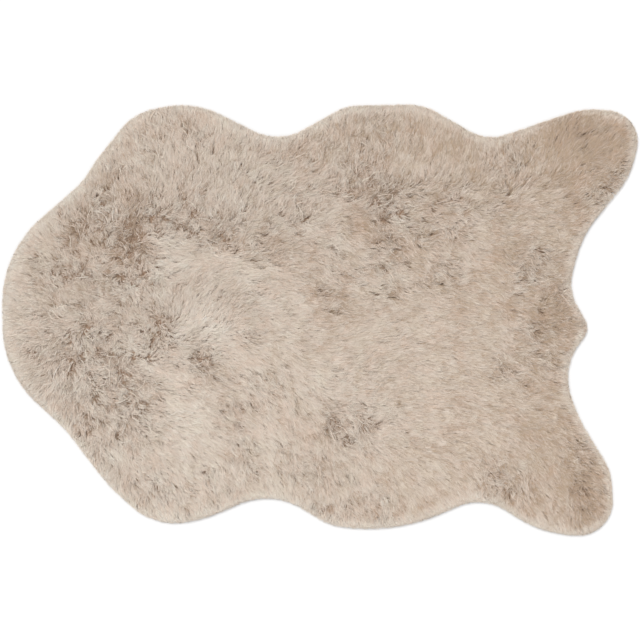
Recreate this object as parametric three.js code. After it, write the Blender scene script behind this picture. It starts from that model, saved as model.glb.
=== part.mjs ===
import * as THREE from 'three';

// A hide-shaped sheepskin rug, lying leather side down with its combed wool up. It is one piece.
// Millimetres, +Z up. The origin is on the floor under the middle of the rug's box, +X points from
// the head end to the tail, and the fleece fills the space that the wool reaches.

const PILE_HEIGHT = 40;       // the combed wool stands this high above the floor
const SHOULDER_WIDTH = 44;    // the wool rolls down towards the floor over this width
const RIM_HEIGHT = 9;         // the outermost wool tips hang this high above the floor
const LEATHER_INSET = 6;      // the leather side stays this far behind the wool tips
const SHOULDER_FACETS = 5;    // facets across the rolled edge
const ARC_STEP = 24;          // longest facet along a lobe or a bay

const LOBE = 1;               // the outline bulges out round a centre inside the hide
const BAY = -1;               // the outline is drawn in round a centre outside the hide

// The outline, counter-clockwise from the tail, as circles. Each is joined to the next by a common
// tangent. The upper side is the +Y side.
const OUTLINE = [
  { name: 'tail', side: LOBE, x: 1090, y: -35, radius: 70 },
  { name: 'tail, upper side', side: BAY, x: 1290, y: 160, radius: 200 },
  { name: 'upper rump', side: BAY, x: 1530, y: 165, radius: 430 },
  { name: 'upper hind leg, outer side', side: LOBE, x: 970, y: 800, radius: 407 },
  { name: 'upper hind leg, toe', side: LOBE, x: 1238, y: 771, radius: 139 },
  { name: 'upper hind leg, end', side: LOBE, x: 1180, y: 560, radius: 354 },
  { name: 'upper flank, hind', side: BAY, x: 742, y: 985, radius: 190 },
  { name: 'upper belly, hind', side: LOBE, x: 378, y: 670, radius: 265 },
  { name: 'upper belly, fore', side: LOBE, x: 168, y: 725, radius: 206 },
  { name: 'upper flank, fore', side: BAY, x: -185, y: 1025, radius: 228 },
  { name: 'upper shoulder', side: LOBE, x: -600, y: 545, radius: 387 },
  { name: 'upper foreleg', side: LOBE, x: -665, y: 665, radius: 257 },
  { name: 'upper foreleg, toe', side: LOBE, x: -853, y: 603, radius: 147 },
  { name: 'upper neck', side: BAY, x: -1285, y: 820, radius: 335 },
  { name: 'head, upper side', side: LOBE, x: -885, y: 72, radius: 492 },
  { name: 'head, lower side', side: LOBE, x: -925, y: -28, radius: 450 },
  { name: 'lower neck', side: BAY, x: -1370, y: -720, radius: 360 },
  { name: 'lower foreleg, toe', side: LOBE, x: -560, y: -380, radius: 490 },
  { name: 'lower foreleg', side: LOBE, x: -625, y: -590, radius: 292 },
  { name: 'lower shoulder', side: LOBE, x: -645, y: -350, radius: 530 },
  { name: 'lower flank, fore', side: BAY, x: -232, y: -1065, radius: 290 },
  { name: 'lower belly, fore', side: LOBE, x: 132, y: -640, radius: 262 },
  { name: 'lower belly, hind', side: LOBE, x: 208, y: -100, radius: 806 },
  { name: 'lower flank, hind', side: BAY, x: 683, y: -1001, radius: 210 },
  { name: 'lower hind leg, end', side: LOBE, x: 1120, y: -430, radius: 505 },
  { name: 'lower hind leg, toe', side: LOBE, x: 1117, y: -783, radius: 152 },
  { name: 'lower hind leg, outer side', side: LOBE, x: 1020, y: -724, radius: 245 },
  { name: 'lower rump', side: BAY, x: 1690, y: -155, radius: 625 },
  { name: 'tail, lower side', side: BAY, x: 1320, y: -250, radius: 244 },
];

/** The heading, in radians, of the common tangent that leaves one circle and meets the next. */
function tangentHeading(from, to) {
  const dx = to.x - from.x;
  const dy = to.y - from.y;
  const offset = to.side * to.radius - from.side * from.radius;
  return Math.atan2(dy, dx) - Math.asin(offset / Math.hypot(dx, dy));
}

/** An angle brought to the range from -PI to PI, so that a turn goes the short way round. */
function shortTurn(angle) {
  return Math.atan2(Math.sin(angle), Math.cos(angle));
}

/**
 * The points of the outline, moved inwards by an inset. Every inset gives the same number of
 * points, because an inset leaves the headings of the common tangents as they are.
 */
function outlinePoints(inset) {
  const count = OUTLINE.length;
  const headings = OUTLINE.map((circle, i) => tangentHeading(circle, OUTLINE[(i + 1) % count]));
  const points = [];
  OUTLINE.forEach((circle, i) => {
    const start = headings[(i + count - 1) % count];
    const turn = shortTurn(headings[i] - start);
    const steps = Math.ceil(Math.abs(turn) * circle.radius / ARC_STEP);
    const reach = circle.side * circle.radius - inset;
    for (let k = 0; k <= steps; k += 1) {
      const heading = start + turn * k / steps;
      points.push(new THREE.Vector2(
        circle.x + reach * Math.sin(heading),
        circle.y - reach * Math.cos(heading),
      ));
    }
  });
  return points;
}

/** The rings of the fleece from the leather side up: an inset and a height for each. */
function fleeceLevels() {
  const levels = [
    { inset: LEATHER_INSET, height: 0 },
  ];
  for (let k = 0; k <= SHOULDER_FACETS; k += 1) {
    const angle = Math.PI / 2 * k / SHOULDER_FACETS;
    levels.push({
      inset: SHOULDER_WIDTH * (1 - Math.cos(angle)),
      height: RIM_HEIGHT + (PILE_HEIGHT - RIM_HEIGHT) * Math.sin(angle),
    });
  }
  return levels;
}

/** A closed body through rings that have as many points each, with a flat face at both ends. */
function skinLevels(levels) {
  const rings = levels.map((level) => outlinePoints(level.inset));
  const size = rings[0].length;
  const positions = [];
  rings.forEach((ring, i) => {
    ring.forEach((point) => positions.push(point.x, point.y, levels[i].height));
  });

  const indices = [];
  for (let i = 0; i + 1 < rings.length; i += 1) {
    for (let k = 0; k < size; k += 1) {
      const a = i * size + k;
      const b = i * size + (k + 1) % size;
      indices.push(a, b, b + size);
      indices.push(a, b + size, a + size);
    }
  }
  const last = (rings.length - 1) * size;
  THREE.ShapeUtils.triangulateShape(rings[0], []).forEach(([a, b, c]) => {
    indices.push(a, c, b);
  });
  THREE.ShapeUtils.triangulateShape(rings[rings.length - 1], []).forEach(([a, b, c]) => {
    indices.push(last + a, last + b, last + c);
  });

  const geometry = new THREE.BufferGeometry();
  geometry.setAttribute('position', new THREE.Float32BufferAttribute(positions, 3));
  geometry.setIndex(indices);
  geometry.computeVertexNormals();
  return geometry;
}

/** The fleece: leather and wool of the whole hide, in one flat body with a rolled edge. */
function makeFleece() {
  const wool = new THREE.MeshStandardMaterial({
    color: 0xc2b1a1,
    roughness: 0.95,
    metalness: 0,
  });
  const fleece = new THREE.Mesh(skinLevels(fleeceLevels()), wool);
  fleece.name = 'fleece_hide';
  return fleece;
}

const rug = new THREE.Group();
rug.add(makeFleece());

export default rug;
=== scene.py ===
"""A hide-shaped sheepskin rug: a tanned hide with a long, dense, combed wool pile, lying flat."""

import logging
import math
from dataclasses import dataclass, field
from enum import Enum, IntEnum

import bpy
import numpy as np
from mathutils.geometry import delaunay_2d_cdt
from mathutils.kdtree import KDTree
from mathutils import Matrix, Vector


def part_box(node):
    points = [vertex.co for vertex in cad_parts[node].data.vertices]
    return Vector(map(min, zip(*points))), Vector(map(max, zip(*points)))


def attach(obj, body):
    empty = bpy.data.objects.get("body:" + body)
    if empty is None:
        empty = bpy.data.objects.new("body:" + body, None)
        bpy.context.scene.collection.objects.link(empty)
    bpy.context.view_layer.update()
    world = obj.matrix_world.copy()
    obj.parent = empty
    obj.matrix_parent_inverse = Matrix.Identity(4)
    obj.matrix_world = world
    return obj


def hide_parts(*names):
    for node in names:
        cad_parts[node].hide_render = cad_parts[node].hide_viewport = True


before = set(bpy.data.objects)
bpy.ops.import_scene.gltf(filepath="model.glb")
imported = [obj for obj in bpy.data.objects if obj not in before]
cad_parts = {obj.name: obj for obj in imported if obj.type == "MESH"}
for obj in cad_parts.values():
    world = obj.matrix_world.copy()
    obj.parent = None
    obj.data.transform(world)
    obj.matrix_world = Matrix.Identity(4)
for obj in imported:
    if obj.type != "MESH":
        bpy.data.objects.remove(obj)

LOG = logging.getLogger("sheepskin_rug")
FLEECE_NODE = "fleece_hide"
BODY = "root"
STRAND_MAP = "OFBake"
TINY = 1e-6


# --------------------------------------------------------------------------- outline


class Side(IntEnum):
    """Which way an arc of the outline bends."""

    LOBE = 1
    BAY = -1


@dataclass(frozen=True)
class Arc:
    """One circle of the outline, in metres."""

    name: str
    side: Side
    x: float
    y: float
    radius: float


# Most circles are a program's fit, by least squares, to the outline in the photo, rounded and adjusted
# until neighbours joined. The CAD has the same table, in millimetres.
OUTLINE: tuple[Arc, ...] = (
    Arc("tail", Side.LOBE, 1.090, -0.035, 0.070),
    Arc("tail, upper side", Side.BAY, 1.290, 0.160, 0.200),
    Arc("upper rump", Side.BAY, 1.530, 0.165, 0.430),
    Arc("upper hind leg, outer side", Side.LOBE, 0.970, 0.800, 0.407),
    Arc("upper hind leg, toe", Side.LOBE, 1.238, 0.771, 0.139),
    Arc("upper hind leg, end", Side.LOBE, 1.180, 0.560, 0.354),
    Arc("upper flank, hind", Side.BAY, 0.742, 0.985, 0.190),
    Arc("upper belly, hind", Side.LOBE, 0.378, 0.670, 0.265),
    Arc("upper belly, fore", Side.LOBE, 0.168, 0.725, 0.206),
    Arc("upper flank, fore", Side.BAY, -0.185, 1.025, 0.228),
    Arc("upper shoulder", Side.LOBE, -0.600, 0.545, 0.387),
    Arc("upper foreleg", Side.LOBE, -0.665, 0.665, 0.257),
    Arc("upper foreleg, toe", Side.LOBE, -0.853, 0.603, 0.147),
    Arc("upper neck", Side.BAY, -1.285, 0.820, 0.335),
    Arc("head, upper side", Side.LOBE, -0.885, 0.072, 0.492),
    Arc("head, lower side", Side.LOBE, -0.925, -0.028, 0.450),
    Arc("lower neck", Side.BAY, -1.370, -0.720, 0.360),
    Arc("lower foreleg, toe", Side.LOBE, -0.560, -0.380, 0.490),
    Arc("lower foreleg", Side.LOBE, -0.625, -0.590, 0.292),
    Arc("lower shoulder", Side.LOBE, -0.645, -0.350, 0.530),
    Arc("lower flank, fore", Side.BAY, -0.232, -1.065, 0.290),
    Arc("lower belly, fore", Side.LOBE, 0.132, -0.640, 0.262),
    Arc("lower belly, hind", Side.LOBE, 0.208, -0.100, 0.806),
    Arc("lower flank, hind", Side.BAY, 0.683, -1.001, 0.210),
    Arc("lower hind leg, end", Side.LOBE, 1.120, -0.430, 0.505),
    Arc("lower hind leg, toe", Side.LOBE, 1.117, -0.783, 0.152),
    Arc("lower hind leg, outer side", Side.LOBE, 1.020, -0.724, 0.245),
    Arc("lower rump", Side.BAY, 1.690, -0.155, 0.625),
    Arc("tail, lower side", Side.BAY, 1.320, -0.250, 0.244),
)


class HideOutline:
    """The hide's outline: circles that neighbours join by a common tangent."""

    def __init__(self, arcs: tuple[Arc, ...]) -> None:
        """Work out the headings of the common tangents.

        Args:
            arcs: The circles, counter-clockwise.
        """
        self.arcs = arcs
        following = arcs[1:] + arcs[:1]
        self.headings = [self._tangent(a, b) for a, b in zip(arcs, following)]

    @staticmethod
    def _tangent(a: Arc, b: Arc) -> float:
        """Return the heading of the common tangent from a to b, in radians."""
        offset = b.side * b.radius - a.side * a.radius
        reach = math.hypot(b.x - a.x, b.y - a.y)
        return math.atan2(b.y - a.y, b.x - a.x) - math.asin(offset / reach)

    def ring(self, inset: float, step: float) -> np.ndarray:
        """Return the outline moved inwards, counter-clockwise.

        Args:
            inset: How far inwards, in metres.
            step: The longest chord on an arc, in metres.

        Returns:
            The points, as an array of (x, y) rows. Every inset gives as many.
        """
        points = []
        for i, arc in enumerate(self.arcs):
            start, turn = self.headings[i - 1], self.headings[i] - self.headings[i - 1]
            turn = math.atan2(math.sin(turn), math.cos(turn))
            steps = math.ceil(abs(turn) * arc.radius / step)
            heading = start + turn * np.arange(steps + 1) / steps
            reach = arc.side * arc.radius - inset
            points.append(np.stack([arc.x + reach * np.sin(heading), arc.y - reach * np.cos(heading)], 1))
        return np.concatenate(points)

    def extent(self, inset: float, step: float) -> tuple[tuple[float, float], float]:
        """Return the length and width, and the area, of the outline moved inwards."""
        x, y = self.ring(inset, step).T
        area = 0.5 * abs(np.dot(x, np.roll(y, -1)) - np.dot(y, np.roll(x, -1)))
        return (float(np.ptp(x)), float(np.ptp(y))), float(area)


@dataclass
class Grid:
    """A regular grid of points under the rug, on which slow fields are worked out once."""

    cell: float = 0.010
    half_x: float = 1.44
    half_y: float = 1.00

    def __post_init__(self) -> None:
        """Lay out the grid's points."""
        self.x = np.arange(-self.half_x, self.half_x + self.cell / 2, self.cell)
        self.y = np.arange(-self.half_y, self.half_y + self.cell / 2, self.cell)
        xx, yy = np.meshgrid(self.x, self.y, indexing="ij")
        self.points = np.stack([xx.ravel(), yy.ravel()], 1)
        self.shape = xx.shape

    def window(self, low: np.ndarray, high: np.ndarray) -> np.ndarray:
        """Return the indices of the grid's points in the box from low to high."""
        half = np.array([self.half_x, self.half_y])
        i0, j0 = np.maximum(np.floor((low + half) / self.cell).astype(int), 0)
        i1, j1 = np.minimum(np.ceil((high + half) / self.cell).astype(int) + 1, self.shape)
        return (np.arange(i0, i1)[:, None] * self.shape[1] + np.arange(j0, j1)).ravel()

    def read(self, values: np.ndarray, points: np.ndarray) -> np.ndarray:
        """Return a grid field's values at points, by bilinear interpolation.

        Args:
            values: The field, of the grid's shape, with any further axes.
            points: Rows of (x, y).

        Returns:
            One value, or row of values, for each point.
        """
        i = np.clip((points[:, 0] + self.half_x) / self.cell, 0, self.shape[0] - 1.001)
        j = np.clip((points[:, 1] + self.half_y) / self.cell, 0, self.shape[1] - 1.001)
        i0, j0 = i.astype(int), j.astype(int)
        extra = (slice(None),) + (None,) * (values.ndim - 2)
        fi, fj = (i - i0)[extra], (j - j0)[extra]
        low = values[i0, j0] * (1 - fi) + values[i0 + 1, j0] * fi
        high = values[i0, j0 + 1] * (1 - fi) + values[i0 + 1, j0 + 1] * fi
        return low * (1 - fj) + high * fj


class GapField:
    """How deep in a gap of the pile each place is."""

    ragged = 0.55
    slim = 0.85
    reach = 2.5
    crease_width = 0.10
    deepest_crease = 0.9
    open_gain = 1.4
    open_loss = 0.57

    def __init__(self, gaps: list["Gap"], grid: Grid, ruffle: np.ndarray) -> None:
        """Work out the field from the gaps, and crease the wool between its clumps where it is ruffled."""
        self.grid = grid
        ragged = (1 + self.ragged * SmoothNoise(61, 0.010, 2).at(grid.points)) / self.slim
        unbridged = np.clip(0.90 + 0.9 * SmoothNoise(64, 0.006).at(grid.points), 0, 1)
        crease = np.exp(-(SmoothNoise(66, 0.034, 2).at(grid.points) / self.crease_width) ** 2)
        broken = np.clip(0.35 + 1.1 * SmoothNoise(67, 0.045).at(grid.points), 0, 1)
        near = crease * broken * np.clip(1.2 * ruffle - 0.10, 0, self.deepest_crease)
        for gap in gaps:
            line, margin = gap.line(), self.reach * gap.width
            rows = grid.window(line.min(0) - margin, line.max(0) + margin)
            _, size, depth = gap.measure(grid.points[rows])
            unfilled = depth * np.maximum(unbridged[rows], self.open_gain * depth - self.open_loss)
            close = unfilled * np.exp(-(size * ragged[rows] / gap.width) ** 2)
            near[rows] = np.maximum(near[rows], close)
        self.near = near.reshape(grid.shape)

    def at(self, points: np.ndarray) -> np.ndarray:
        """Return how deep in a gap each point is, from 0 to about 1."""
        return self.grid.read(self.near, points)


class InsetField:
    """How far inside the outline each point is, and which way is inwards."""

    batches = 60
    no_length = 1e-12

    def __init__(self, outline: HideOutline, grid: Grid, step: float = 0.012) -> None:
        """Measure the distance to the outline at each of the grid's points."""
        self.grid = grid
        ring = outline.ring(0.0, step)
        ahead = np.roll(ring, -1, axis=0)
        along = ahead - ring
        length2 = np.maximum((along ** 2).sum(1), self.no_length)
        depth = np.empty(len(grid.points))
        for rows in np.array_split(np.arange(len(grid.points)), self.batches):
            p = grid.points[rows, None, :]
            t = np.clip(((p - ring) * along).sum(2) / length2, 0, 1)
            away = np.sqrt((((p - ring) - t[:, :, None] * along) ** 2).sum(2)).min(1)
            above = (ring[:, 1] > p[:, :, 1]) != (ahead[:, 1] > p[:, :, 1])
            rise = np.where(np.abs(along[:, 1]) > self.no_length, along[:, 1], self.no_length)
            cross = ring[:, 0] + (p[:, :, 1] - ring[:, 1]) / rise * along[:, 0]
            inside = (above & (p[:, :, 0] < cross)).sum(1) % 2 == 1
            depth[rows] = np.where(inside, away, -away)
        self.depth = depth.reshape(grid.shape)
        gx, gy = np.gradient(self.depth, grid.cell)
        self.inward = np.stack([gx, gy], 2)

    def at(self, points: np.ndarray) -> tuple[np.ndarray, np.ndarray]:
        """Return each point's inset, in metres, and the unit vector inwards there."""
        inward = self.grid.read(self.inward, points)
        size = np.maximum(np.linalg.norm(inward, axis=1, keepdims=True), TINY)
        return self.grid.read(self.depth, points), inward / size


class SmoothNoise:
    """Smooth random waves over the plane, the same on each run."""

    size = 128
    shift = 17.3

    def __init__(self, seed: int, wavelength: float, octaves: int = 1) -> None:
        """Draw the lattice of values.

        Args:
            seed: Which noise this is.
            wavelength: The distance between the lattice's points, in metres.
            octaves: How many noises, each half the size and strength, are added.
        """
        rng = np.random.default_rng(seed)
        self.lattices = [rng.uniform(-1, 1, (self.size, self.size)) for _ in range(octaves)]
        self.wavelength = wavelength

    def at(self, points: np.ndarray) -> np.ndarray:
        """Return the noise, about -1 to 1, at rows of (x, y)."""
        total = np.zeros(len(points))
        for k, lattice in enumerate(self.lattices):
            where = points / self.wavelength * 2 ** k + self.shift * (k + 1)
            cell = np.floor(where).astype(int)
            f = where - cell
            f = f * f * f * (f * (f * 6 - 15) + 10)
            i, j = cell[:, 0] % self.size, cell[:, 1] % self.size
            i1, j1 = (i + 1) % self.size, (j + 1) % self.size
            low = lattice[i, j] * (1 - f[:, 0]) + lattice[i1, j] * f[:, 0]
            high = lattice[i, j1] * (1 - f[:, 0]) + lattice[i1, j1] * f[:, 0]
            total += (low * (1 - f[:, 1]) + high * f[:, 1]) / 2 ** k
        return total


@dataclass(frozen=True)
class Varying:
    """A value in smooth wool, and what is added to it where the wool is ruffled up fully."""

    smooth: float
    added: float

    def at(self, ruffle: np.ndarray) -> np.ndarray:
        """Return the value for how ruffled the wool is, from 0 to 1."""
        return self.smooth + self.added * ruffle


def grown(least: float, ruffle: np.ndarray) -> np.ndarray:
    """Return a share that grows from a least one in smooth wool to 1 in ruffled wool."""
    return least + (1 - least) * ruffle


# --------------------------------------------------------------------------- combing


@dataclass(frozen=True)
class Stroke:
    """One stroke of the comb: at (x, y), in metres, the wool's tips point along heading, in degrees."""

    x: float
    y: float
    heading: float


@dataclass(frozen=True)
class Gap:
    """A ragged gap in the pile, from (x0, y0) to (x1, y1), where its brown roots show and the strands are
    painted darker as shade. Sizes in metres.
    """

    x0: float
    y0: float
    x1: float
    y1: float
    width: float
    depth: float
    bow: float = 0.0

    def line(self) -> np.ndarray:
        """Return points along it, as rows of (x, y)."""
        t = np.linspace(0, 1, 7 if self.bow else 2)[:, None]
        start, end = np.array([self.x0, self.y0]), np.array([self.x1, self.y1])
        run = end - start
        aside = np.array([-run[1], run[0]]) / np.linalg.norm(run)
        return start + t * run + aside * self.bow * 4 * t * (1 - t)

    def measure(self, points: np.ndarray) -> tuple[np.ndarray, np.ndarray, np.ndarray]:
        """Measure how points lie to the gap.

        Args:
            points: Rows of (x, y).

        Returns:
            Each point's unit vector away from the line, its distance, and the line's depth beside it.
        """
        line = self.line()
        start, run = line[:-1], line[1:] - line[:-1]
        p = points[:, None, :]
        t = np.clip(((p - start) * run).sum(2) / (run ** 2).sum(1), 0, 1)
        away = p - start - t[:, :, None] * run
        size = np.linalg.norm(away, axis=2)
        rows, k = np.arange(len(points)), size.argmin(1)
        away, size, share = away[rows, k], size[rows, k], (k + t[rows, k]) / len(run)
        depth = self.depth * (0.5 + 0.5 * np.sqrt(np.sin(np.pi * share)))
        return away / np.maximum(size, 1e-5)[:, None], size, depth


@dataclass(frozen=True)
class PaintedSheenPatch:
    """A soft patch where the wool is painted lighter or darker, as painted sheen and shade of the way it
    lies: an ellipse, turned by heading degrees.
    """

    x: float
    y: float
    length: float
    width: float
    heading: float
    tone: float


@dataclass(frozen=True)
class Ruffle:
    """A soft round area where the wool is ruffled up, from 0, combed smooth, to 1."""

    x: float
    y: float
    radius: float
    amount: float


# More than half of the rows are a program's: places on the lattice where it sampled the photo, and the
# headings of the wool that it measured there. The others were chosen or changed one by one.
STROKES: tuple[Stroke, ...] = tuple(Stroke(*row) for row in (
    # x, y, heading
    # head end
    (-1.29, 0.34, 195), (-1.29, 0.22, 165), (-1.29, 0.09, 165), (-1.3, -0.04, 185), (-1.27, -0.17, 205),
    (-1.12, 0.47, 95), (-1.12, 0.34, 120), (-1.12, -0.3, 250), (-1.12, -0.17, 235), (-1.1, 0.05, 150),
    (-1.1, 0.2, 125),
    # upper shoulder and foreleg
    (-0.95, 0.6, 95), (-0.95, 0.4, 85), (-0.78, 0.8, 104), (-0.78, 0.6, 105), (-0.78, 0.45, 90),
    (-0.6, 0.86, 94), (-0.6, 0.66, 88), (-0.43, 0.84, 98), (-0.43, 0.62, 80), (-0.43, 0.47, 72),
    # upper flank and belly
    (-0.26, 0.73, 69), (-0.26, 0.58, 36), (-0.26, 0.45, 48), (-0.09, 0.72, 38), (-0.09, 0.6, 24),
    (-0.09, 0.47, 45), (0.09, 0.84, 76), (0.09, 0.66, 76), (0.26, 0.86, 68), (0.26, 0.66, 88),
    (0.43, 0.8, 96), (0.43, 0.66, 70), (0.6, 0.74, 88), (0.6, 0.62, 72), (0.78, 0.72, 100), (0.78, 0.6, 72),
    # upper hind leg
    (0.95, 0.7, 75), (1.12, 0.86, 32), (1.12, 0.7, 50), (1.29, 0.8, 40), (1.29, 0.62, 45), (1.12, 0.48, 30),
    (1.12, 0.3, 40),
    # along the back
    (-0.6, 0.34, -14), (-0.74, 0.31, -8), (-0.9, 0.27, 178), (-0.6, 0.22, -4), (-0.43, 0.22, 20),
    (-0.26, 0.34, 24), (-0.26, 0.2, -5), (-0.09, 0.34, -8), (-0.09, 0.2, -9), (0.09, 0.47, 28),
    (0.09, 0.34, -25), (0.09, 0.2, -15), (0.26, 0.34, -34), (0.26, 0.2, -18), (0.43, 0.47, -4),
    (0.43, 0.34, -26), (0.43, 0.2, -14), (0.6, 0.47, -20), (0.6, 0.34, -16), (0.6, 0.2, -14),
    (0.78, 0.45, 5), (0.78, 0.2, -22), (0.95, 0.47, -3), (0.95, 0.34, -10), (0.95, 0.2, -18),
    (1.08, 0.1, 10), (-0.78, 0.05, 170), (-0.66, -0.05, 5), (-0.58, -0.09, 10), (-0.69, 0.06, 100),
    (-0.5, 0.04, 65), (-0.76, -0.09, 188), (-0.6, 0.09, 80), (-0.43, 0.06, 52), (-0.26, 0.06, -6),
    (-0.26, -0.05, 0), (-0.09, 0.02, 8), (0.09, 0.08, -8), (0.26, 0.08, -8), (0.43, 0.08, -10),
    (0.6, 0.08, -10), (0.78, 0.08, -16), (0.95, 0.06, -20), (0.09, -0.05, 16), (0.26, -0.05, 34),
    (0.43, -0.05, -4), (0.6, -0.05, -8), (0.78, -0.05, -10), (0.95, -0.1, -22), (1.1, -0.04, 10),
    # lower side of the back
    (-0.62, -0.18, -18), (-0.43, -0.17, -31), (-0.26, -0.17, -35), (-0.09, -0.15, -20), (0.09, -0.17, 12),
    (0.26, -0.17, 18), (0.43, -0.17, -5), (0.6, -0.17, -7), (0.78, -0.17, -8), (0.95, -0.2, -16),
    (-0.76, -0.28, -14), (-0.6, -0.3, -8), (-0.69, -0.37, -10), (-0.7, -0.23, -4), (-0.43, -0.3, -28),
    (-0.26, -0.3, -46), (-0.09, -0.3, -46), (0.09, -0.3, -2), (0.26, -0.32, 4), (0.43, -0.32, -10),
    (0.6, -0.3, -11), (0.78, -0.3, -20), (0.95, -0.32, 0),
    # lower shoulder and foreleg
    (-0.95, -0.2, -45), (-0.95, -0.38, -50), (-1.05, -0.46, -68), (-0.95, -0.56, -67), (-0.78, -0.45, -48),
    (-0.78, -0.6, -64), (-0.78, -0.78, -58), (-0.6, -0.44, -14), (-0.6, -0.6, -36), (-0.6, -0.74, -50),
    (-0.6, -0.86, -64), (-0.43, -0.45, -30), (-0.43, -0.6, -50), (-0.43, -0.76, -62), (-0.26, -0.45, -50),
    (-0.26, -0.6, -46), (-0.26, -0.72, -57), (-0.09, -0.45, -60), (-0.09, -0.62, -62),
    # lower belly and hind leg
    (0.09, -0.45, -24), (0.09, -0.6, -55), (0.09, -0.82, -64), (0.26, -0.47, 8), (0.26, -0.62, -62),
    (0.26, -0.82, -58), (0.43, -0.45, -4), (0.43, -0.58, -8), (0.43, -0.72, -40), (0.43, -0.84, -65),
    (0.6, -0.45, -8), (0.6, -0.58, -14), (0.6, -0.7, -56), (0.78, -0.45, -16), (0.78, -0.58, -50),
    (0.78, -0.72, -80), (0.95, -0.5, -30), (0.95, -0.66, -46), (0.95, -0.82, -44), (1.12, -0.5, -42),
    (1.12, -0.66, -47), (1.15, -0.82, -60),
))
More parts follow.
